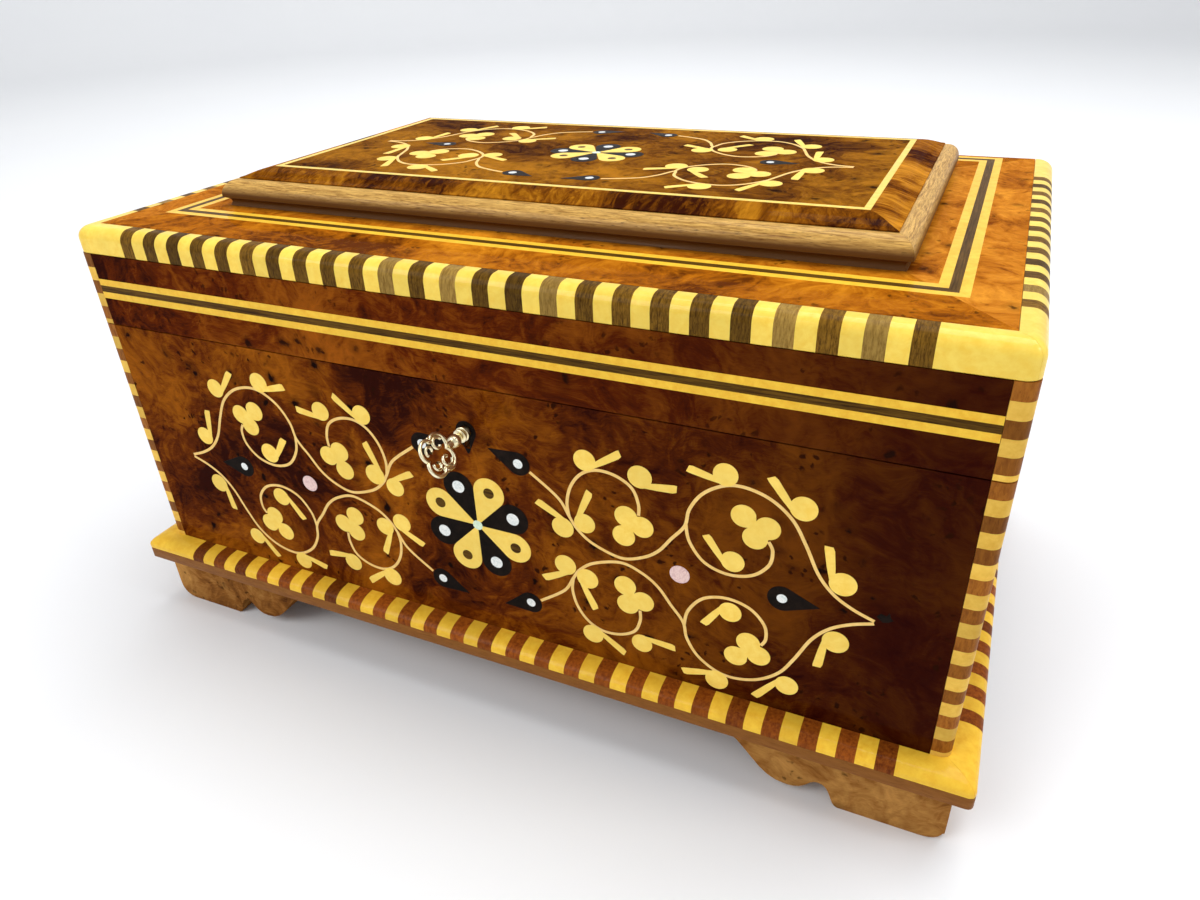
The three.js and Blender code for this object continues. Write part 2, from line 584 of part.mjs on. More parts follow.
// A gear on a lengthwise arbor, from x0 to x1, with its tooth spaces deepened by extra.
function gearX(teeth, pitchRadius, phase, x0, x1, y, extra = 0) {
  const profile = gearOutline(teeth, pitchRadius, TOOTH.addendum, TOOTH.dedendum + extra, phase);
  return prismX(profile, x0, x1).translate(0, y, CYLINDER_Z);
}

// Cast bedplate with the comb's seat and the uprights that carry the arbors.
piece(movement, 'bedplate', carve([
  block(-35, 35, -28, 26, 0, PLATE),
  block(DRUM.left, DRUM.right, -27.5, -19, PLATE - 1, CYLINDER_Z - 0.7),
  block(...UPRIGHT_LEFT, CYLINDER_Y - 3, CYLINDER_Y + 3, PLATE - 1, CYLINDER_Z + 3),
  block(...UPRIGHT_RIGHT, CYLINDER_Y - 4, GOVERNOR_Y + 3, PLATE - 1, CYLINDER_Z + 4),
  block(...UPRIGHT_MIDDLE, GOVERNOR_Y - 1.6, GOVERNOR_Y + 3, PLATE - 1, CYLINDER_Z + 3),
], [
  bar('z', -1, PLATE + 1, BARREL_X, CYLINDER_Y, 3, 24),
  bar('x', -8, 35, CYLINDER_Y, CYLINDER_Z, ARBOR.cylinder + ARBOR.clearance, 16),
  bar('x', 20, 35, GOVERNOR_Y, CYLINDER_Z, ARBOR.governor + ARBOR.clearance, 16),
]), castZinc);

// Spring barrel: an upright drum with crown teeth round its top edge and a bore for the winding arbor.
const crownTeeth = [];
for (let i = 0; i < CROWN_TEETH; i++) {
  const tooth = block(CROWN_RADIUS - 1, CROWN_RADIUS + 1, -0.2, 0.2, BARREL_TOP - 0.5,
    BARREL_TOP + CROWN_HEIGHT);
  crownTeeth.push(tooth.rotateZ(2 * Math.PI * (i + 0.5) / CROWN_TEETH).translate(BARREL_X, CYLINDER_Y, 0));
}
piece(movement, 'spring_barrel', carve(
  [bar('z', PLATE + 0.5, BARREL_TOP, BARREL_X, CYLINDER_Y, CROWN_RADIUS + 1, 48), ...crownTeeth],
  [bar('z', 0, BARREL_TOP + 3, BARREL_X, CYLINDER_Y, 2.3, 24)]), brass);

piece(movement, 'cylinder', carve([
  bar('x', DRUM.left, DRUM.right, CYLINDER_Y, CYLINDER_Z, DRUM.radius, 40),
  bar('x', -10.5, 34.5, CYLINDER_Y, CYLINDER_Z, ARBOR.cylinder, 16),
  gearX(DRIVEN_TEETH, DRIVEN_RADIUS, -Math.PI / 2, -9.2, -7.8, CYLINDER_Y, CROWN_CLEARANCE),
  gearX(WHEEL_TEETH, WHEEL_RADIUS, 0, 28, 29.5, CYLINDER_Y),
]), brass);

// Comb: a steel plate with a row of teeth ending just short of the cylinder's pins.
const COMB_TEETH = 18;
const combTip = CYLINDER_Y - DRUM.radius - 1.1;
function combOutline() {
  const pitch = (DRUM.right - DRUM.left) / COMB_TEETH;
  const points = [[DRUM.left, -27], [DRUM.right, -27]];
  for (let i = COMB_TEETH - 1; i >= 0; i--) {
    const left = DRUM.left + i * pitch;
    const root = -18 + 2.5 * i / COMB_TEETH;
    points.push([left + pitch * 0.85, root], [left + pitch * 0.75, combTip]);
    points.push([left + pitch * 0.25, combTip], [left + pitch * 0.15, root]);
  }
  return outline(points);
}
piece(movement, 'comb', prismZ(combOutline(), CYLINDER_Z - 0.6, CYLINDER_Z + 0.6), steel);

piece(movement, 'governor_wheel', carve([
  bar('x', 19.5, 34.5, GOVERNOR_Y, CYLINDER_Z, ARBOR.governor, 12),
  gearX(PINION_TEETH, PINION_RADIUS, Math.PI + Math.PI / PINION_TEETH, 27.7, 29.8, GOVERNOR_Y),
  gearX(GOVERNOR_WHEEL_TEETH, GOVERNOR_WHEEL_RADIUS, 0, 25.3, 26.5, GOVERNOR_Y),
]), brass);

// Governor: worm and air brake on one upright arbor, held by a bracket behind it.
const FAN_TOP = 34;
piece(movement, 'governor_bracket', carve([
  block(FAN_X - 4, FAN_X + 4, FAN_Y + 3, FAN_Y + 5.5, PLATE + JOINT, FAN_TOP + 2),
  block(FAN_X - 2.5, FAN_X + 2.5, FAN_Y - 2, FAN_Y + 4, PLATE + JOINT, PLATE + 2.5),
  block(FAN_X - 2.5, FAN_X + 2.5, FAN_Y - 2, FAN_Y + 4, FAN_TOP, FAN_TOP + 2),
], [bar('z', PLATE - 1, FAN_TOP + 3, FAN_X, FAN_Y, ARBOR.fan + 0.15, 12)]), brass);
piece(movement, 'governor_fan', carve([
  bar('z', PLATE + 1, FAN_TOP + 1, FAN_X, FAN_Y, ARBOR.fan, 12),
  bar('z', PLATE + 4, CYLINDER_Z + 7, FAN_X, FAN_Y, 1.3, 16),
  bar('z', CYLINDER_Z + 9, CYLINDER_Z + 10, FAN_X, FAN_Y, 2.6, 20),
  block(FAN_X - 2.4, FAN_X + 2.4, FAN_Y - 0.3, FAN_Y + 0.3, CYLINDER_Z + 9.5, FAN_TOP - 1),
]), brass);

// Winding key under the base: its arbor runs up through the boards into the spring barrel.
const windingKey = new THREE.Group();
windingKey.position.set(MOVEMENT.x + BARREL_X, MOVEMENT.y + CYLINDER_Y, 0);
musicBox.add(windingKey);
const WING = { reach: 6.2, z: 10, radiusX: 5.6, radiusZ: 5.4, half: 1.1 };
const wing = new THREE.Shape();
for (const [centre, start] of [[-WING.reach, Math.PI / 2], [WING.reach, -Math.PI / 2]]) {
  wing.absellipse(centre, WING.z, WING.radiusX, WING.radiusZ, start, start + Math.PI, false, 0);
}
piece(windingKey, 'winding_key', carve([
  bar('z', 9, MOVEMENT.z + BARREL_TOP - 0.5, 0, 0, 2, 20),
  bar('z', 8, 20.5, 0, 0, 3.2, 20),
  prismY(wing, -WING.half, WING.half, 10),
]), steel);

// Stop lever: a sprung wire that the lid presses down, with an arm that ends beside the air brake.
const rodX = STOP_ROD.x - MOVEMENT.x;
const rodY = STOP_ROD.y - MOVEMENT.y;
const armZ = CYLINDER_Z + 12;
const rodTop = lidLiningBottom - 0.4 - MOVEMENT.z;
piece(movement, 'stop_lever', carve([
  bar('z', 2, rodTop, rodX, rodY, STOP_ROD.radius, 12),
  block(rodX - 1, FAN_X + 1, rodY - 1.2, rodY + 1.2, armZ - 1.2, armZ + 1.2),
  block(FAN_X - 1, FAN_X + 1, FAN_Y + 6.5, rodY + 1, armZ - 1, armZ + 1),
]), steel);

const keyFront = BOW.y - BOW.spread - BOW.ring - BOW.wire;
musicBox.position.y = -(keyFront + boardY) / 2;

export default musicBox;
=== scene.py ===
"""Looks of the wind-up music box: burl veneer, marquetry, striped banding, lock key and movement."""

import bmesh
import bpy
import math
import random
from mathutils import Matrix, Vector


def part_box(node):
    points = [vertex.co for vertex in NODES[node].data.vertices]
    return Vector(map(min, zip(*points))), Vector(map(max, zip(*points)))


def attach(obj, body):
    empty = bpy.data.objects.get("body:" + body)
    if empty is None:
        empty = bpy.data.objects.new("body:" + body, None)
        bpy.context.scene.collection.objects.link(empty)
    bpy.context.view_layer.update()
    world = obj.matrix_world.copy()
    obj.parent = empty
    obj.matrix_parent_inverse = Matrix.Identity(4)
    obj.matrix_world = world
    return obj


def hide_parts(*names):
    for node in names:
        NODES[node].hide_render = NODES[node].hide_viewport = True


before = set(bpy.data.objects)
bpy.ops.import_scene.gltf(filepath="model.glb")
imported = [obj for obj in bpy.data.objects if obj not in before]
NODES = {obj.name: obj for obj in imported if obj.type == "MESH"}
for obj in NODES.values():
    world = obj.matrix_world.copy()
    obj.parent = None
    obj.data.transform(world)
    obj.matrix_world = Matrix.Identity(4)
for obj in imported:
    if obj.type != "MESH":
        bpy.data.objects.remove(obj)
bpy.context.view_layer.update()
MM = 0.001

# ------------------------------------------------------------------ places, from the frame

wall_low, wall_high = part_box("front_wall")
panel_low, panel_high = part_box("raised_panel")
FRONT_Y = wall_low.y
BACK_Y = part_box("back_wall")[1].y
SIDE_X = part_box("right_wall")[1].x
TOP_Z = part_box("lid_top")[1].z
FIELD_Z = panel_high.z
MIDDLE_Y = (FRONT_Y + BACK_Y) / 2
PANEL_Y = (panel_low.y + panel_high.y) / 2
RIM_Z = wall_high.z
KEY_Z = (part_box("key")[0].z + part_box("key")[1].z) / 2

# ------------------------------------------------------------------ material nodes


class Nodes:
    """Short calls for building one material's node tree."""

    def __init__(self, name, roughness=0.4, metallic=0.0):
        self.material = bpy.data.materials.new(name)
        self.material.use_nodes = True
        self.tree = self.material.node_tree
        self.shader = self.tree.nodes["Principled BSDF"]
        self.shader.inputs["Roughness"].default_value = roughness
        self.shader.inputs["Metallic"].default_value = metallic
        self.place = self.tree.nodes.new("ShaderNodeTexCoord").outputs["Object"]

    def node(self, kind, inputs=None, **settings):
        made = self.tree.nodes.new("ShaderNode" + kind)
        for key, value in settings.items():
            setattr(made, key, value)
        for key, value in (inputs or {}).items():
            self.put(made.inputs[key], value)
        return made

    def put(self, socket, value):
        if isinstance(value, bpy.types.NodeSocket):
            self.tree.links.new(value, socket)
        else:
            socket.default_value = value

    def moved(self, offset=(0, 0, 0), turn=(0, 0, 0), scale=(1, 1, 1), source=None):
        made = self.node("Mapping", {"Vector": source or self.place, "Location": offset,
                                     "Rotation": turn, "Scale": scale})
        return made.outputs["Vector"]

    def noise(self, vector, scale, detail=4.0, roughness=0.5, distortion=0.0, output="Fac"):
        made = self.node("TexNoise", {"Vector": vector, "Scale": scale, "Detail": detail,
                                      "Roughness": roughness, "Distortion": distortion})
        return made.outputs[output]

    def math(self, operation, a, b=0.0):
        return self.node("Math", {0: a, 1: b}, operation=operation).outputs[0]

    def ramp(self, value, stops):
        made = self.node("ValToRGB", {"Fac": value})
        ramp = made.color_ramp
        while len(ramp.elements) < len(stops):
            ramp.elements.new(0.5)
        for element, (position, colour) in zip(ramp.elements, stops):
            element.position = position
            element.color = colour if len(colour) == 4 else (*colour, 1)
        return made.outputs["Color"]

    def mask(self, value, low, high):
        made = self.node("MapRange", {"Value": value, "From Min": low, "From Max": high})
        return made.outputs["Result"]

    def mix(self, factor, a, b):
        made = self.node("Mix", data_type="RGBA")
        self.put(made.inputs[0], factor)
        self.put(made.inputs[6], a)
        self.put(made.inputs[7], b)
        return made.outputs[2]

    def warp(self, vector, scale, amount):
        swirl = self.noise(vector, scale, 2.0, output="Color")
        centred = self.node("VectorMath", {0: swirl, 1: (0.5, 0.5, 0.5)}, operation="SUBTRACT").outputs[0]
        grown = self.node("VectorMath", {0: centred, "Scale": amount}, operation="SCALE").outputs[0]
        return self.node("VectorMath", {0: vector, 1: grown}, operation="ADD").outputs[0]

    def colour(self, value):
        self.put(self.shader.inputs["Base Color"], value)

    def rough(self, value):
        self.put(self.shader.inputs["Roughness"], value)

    def bump(self, height, distance, strength=1.0):
        made = self.node("Bump", {"Height": height, "Distance": distance, "Strength": strength})
        self.put(self.shader.inputs["Normal"], made.outputs["Normal"])

    def lacquer(self, specular, coat, coat_roughness):
        self.shader.inputs["Specular IOR Level"].default_value = specular
        self.shader.inputs["Coat Weight"].default_value = coat
        self.shader.inputs["Coat Roughness"].default_value = coat_roughness


# ------------------------------------------------------------------ woods

VENEER = 0.7 * MM
CORE_WOOD = (0.30, 0.13, 0.045, 1)
CORE_STREAK = (0.19, 0.075, 0.024, 1)
PUPIL = (0.008, 0.002, 0.001, 1)
SHADE_REACH = 0.13


def under_veneer(n, colour):
    """Turns veneer into the wall's plain wood where a face lies deeper than the veneer: rims and insides."""
    split = n.node("SeparateXYZ", {0: n.place})
    from_side = n.math("SUBTRACT", SIDE_X, n.math("ABSOLUTE", split.outputs[0]))
    from_end = n.math("SUBTRACT", (BACK_Y - FRONT_Y) / 2,
                      n.math("ABSOLUTE", n.math("SUBTRACT", split.outputs[1], MIDDLE_Y)))
    deeper = n.mask(n.math("MINIMUM", from_side, from_end), VENEER, VENEER * 1.1)
    plain = n.mix(n.noise(n.moved(scale=(30, 30, 160)), 6, 5.0, 0.6, 0.4), CORE_WOOD, CORE_STREAK)
    return n.mix(deeper, colour, plain)


def burl_material(name, seed, dark, middle, light, eyes=1.0, turn=(0, 0, 0), shade=0.0, cloud=1.0,
                  core=False, squeeze=(1, 1, 1)):
    """Lacquered burl veneer: broad clouds, a swirling figure, fine fibres and clusters of small eyes.
    shade darkens the veneer towards +X. cloud sets how much the broad clouds count, core shows plain wood
    below the veneer, squeeze narrows the figure."""
    n = Nodes(name, roughness=0.3)
    place = n.moved((seed * 0.731, seed * 0.417, seed * 0.559), turn, squeeze)
    swirled = n.warp(n.warp(place, 22, 0.030), 90, 0.007)
    clouds = n.noise(swirled, 20, 3.0, 0.5, 0.5)
    figure = n.noise(swirled, 95, 8.0, 0.62, 2.2)
    fibres = n.noise(n.moved(scale=(1, 1, 5), source=swirled), 380, 6.0, 0.72, 0.6)
    contour = n.math("PINGPONG", n.math("MULTIPLY", n.noise(swirled, 34, 2.0, 0.5, 1.5), 9.0), 1.0)
    tone = n.math("ADD", n.math("MULTIPLY", clouds, 0.55 * cloud), n.math("MULTIPLY", figure, 0.34))
    tone = n.math("ADD", tone, n.math("MULTIPLY", fibres, 0.20))
    tone = n.math("ADD", tone, n.math("MULTIPLY", contour, 0.045))
    tone = n.math("ADD", tone, -0.0825 + 0.275 * (1 - cloud))
    colour = n.ramp(tone, [(0.36, dark), (0.46, middle), (0.58, light),
                           (0.72, [min(c * 1.5, 0.9) for c in light])])
    if shade:
        along = n.node("SeparateXYZ", {0: n.place}).outputs[0]
        amount = n.math("MULTIPLY", n.mask(along, 0.0, SHADE_REACH), shade)
        colour = n.mix(amount, colour, (dark[0] * 0.75, dark[1] * 0.30, dark[2] * 0.6, 1))
    ragged = n.warp(n.warp(place, 140, 0.006), 900, 0.0016)
    cells = n.node("TexVoronoi", {"Vector": ragged, "Scale": 105}).outputs["Distance"]
    specks = n.node("TexVoronoi", {"Vector": ragged, "Scale": 300}).outputs["Distance"]
    cluster = n.mask(n.noise(place, 26, 2.0), 0.50, 0.58)
    knots = n.mask(n.noise(place, 62, 1.0, 0.5, 0.8), 0.53, 0.60)
    halo = n.math("MULTIPLY", n.mask(cells, 0.40, 0.16), cluster)
    pupil = n.math("MULTIPLY", n.mask(cells, 0.17, 0.09), cluster)
    dust = n.math("MULTIPLY", n.mask(specks, 0.30, 0.17), knots)
    colour = n.mix(n.math("MULTIPLY", halo, 0.45 * eyes), colour, (*[c * 0.40 for c in middle], 1))
    colour = n.mix(n.math("MULTIPLY", dust, 0.70 * eyes), colour, (*[c * 0.16 for c in middle], 1))
    colour = n.mix(n.math("MULTIPLY", pupil, 0.85 * eyes), colour, PUPIL)
    n.colour(under_veneer(n, colour) if core else colour)
    n.rough(n.mask(fibres, -1.5, 3.0))
    n.bump(n.math("ADD", figure, n.math("MULTIPLY", fibres, 0.3)), 0.00010, 0.3)
    n.lacquer(0.0, 0.035, 0.04)
    return n.material


def striped_wood(name, base, streak, grain=(60, 60, 60), roughness=0.35, pores=0.0, spread=0.25,
                 coat=0.05, painted_shade_heights=None):
    """A straight-grained lacquered wood. The face attribute tone shifts each small block's brightness. The
    last argument is a pair of heights between which painted shade darkens the wood downwards, for the shadow
    below a round."""
    n = Nodes(name, roughness)
    place = n.moved(scale=grain)
    grain_lines = n.noise(place, 6, 6.0, 0.65, 0.3)
    soft = n.noise(n.moved(scale=[g * 0.25 for g in grain]), 5, 3.0)
    colour = n.mix(n.mask(grain_lines, 0.38, 0.66), (*base, 1), (*streak, 1))
    deeper = (*[c * 0.8 for c in base], 1)
    colour = n.mix(n.math("MULTIPLY", n.mask(soft, 0.35, 0.7), 0.5), colour, deeper)
    if pores:
        specks = n.mask(n.noise(n.moved(scale=[g * 2.2 for g in grain]), 7, 2.0), 0.6, 0.68)
        colour = n.mix(n.math("MULTIPLY", specks, pores), colour, (*[c * 0.18 for c in base], 1))
    tone = n.node("Attribute", attribute_name="tone", attribute_type="GEOMETRY").outputs["Fac"]
    gain = n.math("ADD", n.math("MULTIPLY", n.math("SUBTRACT", tone, 0.5), spread * 2), 1.0)
    gains = n.node("CombineXYZ", {0: gain, 1: gain, 2: gain}).outputs[0]
    colour = n.node("VectorMath", {0: colour, 1: gains}, operation="MULTIPLY").outputs[0]
    # Painted shade: below the given heights the colour darkens as if the wood lay in shadow.
    if painted_shade_heights:
        height = n.node("SeparateXYZ", {0: n.place}).outputs[2]
        painted_shade_colour = (base[0] * 0.16, base[1] * 0.11, base[2] * 0.1, 1)
        colour = n.mix(n.mask(height, painted_shade_heights[1], painted_shade_heights[0]), colour, painted_shade_colour)
    n.colour(colour)
    n.rough(n.mask(grain_lines, -roughness * 3, 3.0))
    n.bump(grain_lines, 0.00008, 0.5)
    n.lacquer(min(coat, 0.10) * 0.6, coat, 0.08)
    return n.material


QUARTER_TURN = (0, 0, math.pi / 2)
BURL_FRONT = burl_material("burl_front", 1, (0.024, 0.003, 0.001), (0.108, 0.020, 0.0015),
                           (0.27, 0.076, 0.004), 1.3, shade=0.85, cloud=1.25, core=True)
BURL_RAIL = burl_material("burl_rail", 9, (0.024, 0.003, 0.001), (0.100, 0.015, 0.001),
                          (0.24, 0.062, 0.004), shade=0.85, cloud=1.15, core=True)
BURL_SIDE = burl_material("burl_side", 2, (0.035, 0.006, 0.001), (0.135, 0.028, 0.003),
                          (0.27, 0.085, 0.009), core=True)
BURL_TOP = burl_material("burl_top", 3, (0.10, 0.022, 0.002), (0.34, 0.098, 0.004), (0.56, 0.20, 0.010))
BURL_TOP_TURNED = burl_material("burl_top_turned", 4, (0.17, 0.038, 0.003), (0.44, 0.14, 0.010),
                                (0.66, 0.26, 0.024), 0.9, QUARTER_TURN)
BURL_FIELD = burl_material("burl_field", 5, (0.03, 0.006, 0.001), (0.130, 0.040, 0.002),
                           (0.30, 0.115, 0.006), cloud=1.2)
BURL_BEVEL = burl_material("burl_bevel", 6, (0.03, 0.005, 0.001), (0.17, 0.050, 0.002),
                           (0.42, 0.165, 0.008), 0.5, cloud=1.3, squeeze=(2.0, 0.7, 1))
BURL_BEVEL_TURNED = burl_material("burl_bevel_turned", 8, (0.04, 0.006, 0.001), (0.22, 0.066, 0.004),
                                  (0.50, 0.20, 0.015), 0.5, QUARTER_TURN, cloud=1.3,
                                  squeeze=(0.7, 2.0, 1))
BURL_FOOT = burl_material("burl_foot", 7, (0.06, 0.017, 0.004), (0.24, 0.090, 0.018),
                          (0.42, 0.20, 0.05), cloud=1.35)

# Long grain runs along x, cross grain along y.
WALNUT_TONES = ((0.185, 0.090, 0.009), (0.030, 0.010, 0.001))
MOULDING_TONES = ((0.72, 0.43, 0.115), (0.21, 0.085, 0.013))
LINE_TONES = ((0.13, 0.062, 0.006), (0.022, 0.008, 0.001))
# Painted shade on the moulding's lower half, where the round turns under into shadow: full at the lower
# height, none above the upper.
MOULDING_PAINTED_SHADE = (TOP_Z + 4.4 * MM, TOP_Z + 6.8 * MM)

LEMONWOOD = striped_wood("lemonwood", (0.93, 0.67, 0.105), (0.87, 0.56, 0.060), spread=0.06, coat=0.35)
GOLD_WOOD = striped_wood("gold_wood", (0.90, 0.56, 0.048), (0.80, 0.43, 0.026), spread=0.10, coat=0.2)
WALNUT = striped_wood("walnut", *WALNUT_TONES, (60, 330, 330), 0.5, 0.8, 0.45)
WALNUT_CROSS = striped_wood("walnut_cross", *WALNUT_TONES, (330, 60, 60), 0.5, 0.8, 0.45)
MOULDING_WOOD = striped_wood("moulding_walnut", *MOULDING_TONES, (26, 330, 330), 0.4, 0.8, coat=0.12,
                             painted_shade_heights=MOULDING_PAINTED_SHADE)
MOULDING_WOOD_CROSS = striped_wood("moulding_walnut_cross", *MOULDING_TONES, (330, 26, 330), 0.4, 0.8,
                                   coat=0.12, painted_shade_heights=MOULDING_PAINTED_SHADE)
POST_YELLOW = striped_wood("post_yellow", (0.80, 0.50, 0.085), (0.68, 0.38, 0.050), spread=0.16)
POST_BROWN = striped_wood("post_brown", (0.30, 0.105, 0.013), (0.17, 0.048, 0.006), (200, 200, 50),
                          pores=0.3, spread=0.35)
MAHOGANY = striped_wood("mahogany", (0.27, 0.068, 0.007), (0.11, 0.020, 0.003), (160, 160, 50), 0.3, 0.3,
                        0.4, coat=0.06)
TAN_WOOD = striped_wood("tan_wood", (0.36, 0.22, 0.05), (0.17, 0.085, 0.014), (300, 60, 60), 0.45, 0.4,
                        0.15)
BOARD_EDGE = striped_wood("board_edge", (0.36, 0.14, 0.030), (0.26, 0.09, 0.018), (30, 30, 220), 0.4, 0.3)
STEM_WOOD = striped_wood("stem_wood", (0.94, 0.64, 0.22), (0.83, 0.51, 0.14), spread=0.1)
BUD_WOOD = striped_wood("bud_wood", (0.98, 0.70, 0.15), (0.92, 0.60, 0.095), spread=0.08)
BLACK_WOOD = striped_wood("black_wood", (0.008, 0.006, 0.005), (0.018, 0.011, 0.008), roughness=0.25,
                          coat=0.015)
LINE_DARK = striped_wood("line_dark", *LINE_TONES, (14, 330, 330), 0.4, 0.5)
LINE_DARK_CROSS = striped_wood("line_dark_cross", *LINE_TONES, (330, 14, 330), 0.4, 0.5)
INNER_WOOD = striped_wood("inner_wood", (0.30, 0.12, 0.04), (0.20, 0.07, 0.022), (30, 30, 160), 0.45, 0.3)

# ------------------------------------------------------------------ shell, metal, cloth, glass


def shell_material(name, pale, tinted):
    """Mother-of-pearl: soft cloudy bands of two pale tints under a hard gloss."""
    n = Nodes(name, 0.2)
    bands = n.noise(n.warp(n.place, 300, 0.004), 500, 3.0, 0.5, 1.5)
    n.colour(n.ramp(bands, [(0.35, tinted), (0.5, pale), (0.62, tinted), (0.75, pale)]))
    n.lacquer(0.5, 0.6, 0.03)
    return n.material


def metal_material(name, colour, tarnish, roughness, brushed=(1, 1, 1)):
    n = Nodes(name, roughness, 1.0)
    smudge = n.noise(n.moved(scale=brushed), 120, 4.0, 0.6)
    n.colour(n.mix(n.mask(smudge, 0.4, 0.75), (*colour, 1), (*tarnish, 1)))
    n.rough(n.mask(smudge, -0.6 + roughness, 2.6))
    n.bump(n.noise(n.moved(scale=[b * 3 for b in brushed]), 400, 2.0), 0.00002, 0.4)
    return n.material


def velvet_material(name, colour, tip):
    n = Nodes(name, 0.9)
    nap = n.noise(n.place, 45, 3.0, 0.6, 0.8)
    pile = n.noise(n.place, 1800, 2.0)
    n.colour(n.mix(n.mask(nap, 0.35, 0.7), (*colour, 1), (*tip, 1)))
    n.bump(pile, 0.0003, 0.6)
    n.shader.inputs["Sheen Weight"].default_value = 0.5
    n.shader.inputs["Sheen Roughness"].default_value = 0.4
    n.shader.inputs["Sheen Tint"].default_value = (1.0, 0.5, 0.5, 1)
    return n.material


def glass_material(name):
    n = Nodes(name, 0.03)
    n.shader.inputs["Transmission Weight"].default_value = 1.0
    n.shader.inputs["IOR"].default_value = 1.45
    n.colour(n.mix(n.noise(n.place, 30, 2.0), (0.97, 0.99, 0.98, 1), (0.94, 0.97, 0.96, 1)))
    return n.material


def casting_material(name):
    n = Nodes(name, 0.55, 0.9)
    grit = n.noise(n.place, 900, 4.0, 0.7)
    n.colour(n.mix(n.mask(grit, 0.35, 0.7), (0.50, 0.50, 0.49, 1), (0.36, 0.36, 0.35, 1)))
    n.bump(grit, 0.0001, 0.5)
    return n.material


PEARL = shell_material("pearl", (0.86, 0.86, 0.82), (0.62, 0.68, 0.66))
PINK_PEARL = shell_material("pink_pearl", (0.82, 0.58, 0.52), (0.66, 0.40, 0.38))
GREEN_PEARL = shell_material("green_pearl", (0.72, 0.86, 0.62), (0.56, 0.74, 0.56))
GILT = metal_material("gilt_brass", (1.0, 0.93, 0.66), (0.80, 0.66, 0.34), 0.22)
BRASS = metal_material("brass", (0.80, 0.60, 0.26), (0.55, 0.38, 0.14), 0.26)
STEEL = metal_material("steel", (0.60, 0.61, 0.63), (0.45, 0.45, 0.46), 0.25, (1, 6, 6))
CASTING = casting_material("zinc_casting")
VELVET = velvet_material("velvet", (0.15, 0.006, 0.013), (0.20, 0.010, 0.020))
GLASS = glass_material("cover_glass")

# ------------------------------------------------------------------ mesh helpers


def make_object(name, points, faces, materials, indices=None, smooth=False, tones=None):
    mesh = bpy.data.meshes.new(name)
    mesh.from_pydata([tuple(p) for p in points], [], faces)
    for material in materials:
        mesh.materials.append(material)
    if indices:
        mesh.polygons.foreach_set("material_index", indices)
    tone = mesh.attributes.new("tone", "FLOAT", "FACE")
    tone.data.foreach_set("value", tones or [0.5] * len(faces))
    mesh.polygons.foreach_set("use_smooth", [smooth] * len(faces))
    mesh.update()
    made = bpy.data.objects.new(name, mesh)
    bpy.context.scene.collection.objects.link(made)
    return made


def skin(rows, size, start=0, ring=True, loop=False):
    """Faces between rows of size points. ring closes each row, loop joins the last row to the first."""
    faces = []
    for row in range(rows if loop else rows - 1):
        low = start + row * size
        high = start + (row + 1) % rows * size
        for i in range(size if ring else size - 1):
            j = (i + 1) % size
            faces.append((low + i, low + j, high + j, high + i))
    return faces


def finish_piece(piece, body, replaced=()):
    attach(piece, body)
    for node in replaced:
        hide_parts(node)
    return piece


def loft(name, sections, kinds, materials, tones):
    """Skins closed sections of equal length; kinds and tones give each span's material and tone."""
    size = len(sections[0])
    points = [point for section in sections for point in section]
    last = (len(sections) - 1) * size
    faces = skin(len(sections), size)
    faces += [tuple(range(size - 1, -1, -1)), tuple(range(last, last + size))]
    indices = [kind for kind in kinds for _ in range(size)] + [kinds[0], kinds[-1]]
    face_tones = [shade for shade in tones for _ in range(size)] + [tones[0], tones[-1]]
    made = make_object(name, points, faces, materials, indices, True, face_tones)
    fix_normals(made)
    made.data.set_sharp_from_angle(angle=math.radians(40))
    return made


def fix_normals(made):
    work = bmesh.new()
    work.from_mesh(made.data)
    bmesh.ops.recalc_face_normals(work, faces=work.faces)
    work.to_mesh(made.data)
    work.free()


def softened(node, material, body, radius=0.4 * MM, segments=2):
    """Stands for a CAD node whose shape is right, with its edges eased as sanding leaves them."""
    piece = NODES[node].copy()
    piece.data = NODES[node].data.copy()
    piece.name = node + "_eased"
    bpy.context.scene.collection.objects.link(piece)
    piece.data.materials.clear()
    piece.data.materials.append(material)
    work = bmesh.new()
    work.from_mesh(piece.data)
    bmesh.ops.remove_doubles(work, verts=work.verts, dist=1e-6)
    bmesh.ops.dissolve_limit(work, angle_limit=math.radians(1), verts=work.verts, edges=work.edges)
    edges = [e for e in work.edges if len(e.link_faces) == 2 and e.calc_face_angle(0) > math.radians(28)]
    bmesh.ops.bevel(work, geom=edges, offset=radius, segments=segments, profile=0.5, affect="EDGES",
                    clamp_overlap=True)
    work.to_mesh(piece.data)
    work.free()
    piece.data.polygons.foreach_set("use_smooth", [True] * len(piece.data.polygons))
    piece.data.set_sharp_from_angle(angle=math.radians(50))
    piece.parent = None
    return finish_piece(piece, body, [node])


# ------------------------------------------------------------------ flat inlay shapes


class Panel:
    """A flat face that takes inlay: u to the right, v upwards or backwards, both from its centre."""

    def __init__(self, centre, u_axis, v_axis, body):
        self.centre = Vector(centre)
        self.u_axis = Vector(u_axis)
        self.v_axis = Vector(v_axis)
        self.out = self.u_axis.cross(self.v_axis)
        self.body = body

    def point(self, u, v, lift):
        return self.centre + (self.u_axis * u + self.v_axis * v + self.out * lift) * MM


SUNK = -0.02


def flat_shapes(name, panel, outlines, material, lift, tones=None):
    """Thin plates with the given outlines, joined in one piece, whose faces stand lift mm proud."""
    points = []
    faces = []
    face_tones = []
    for number, outline in enumerate(outlines):
        tone = tones[number] if tones else 0.5
        start = len(points)
        count = len(outline)
        points += [panel.point(u, v, SUNK) for u, v in outline]
        points += [panel.point(u, v, lift) for u, v in outline]
        faces.append(tuple(range(start + count, start + 2 * count)))
        faces += skin(2, count, start)
        face_tones += [tone] * (count + 1)
    made = make_object(name, points, faces, [material], None, False, face_tones)
    return finish_piece(made, panel.body)


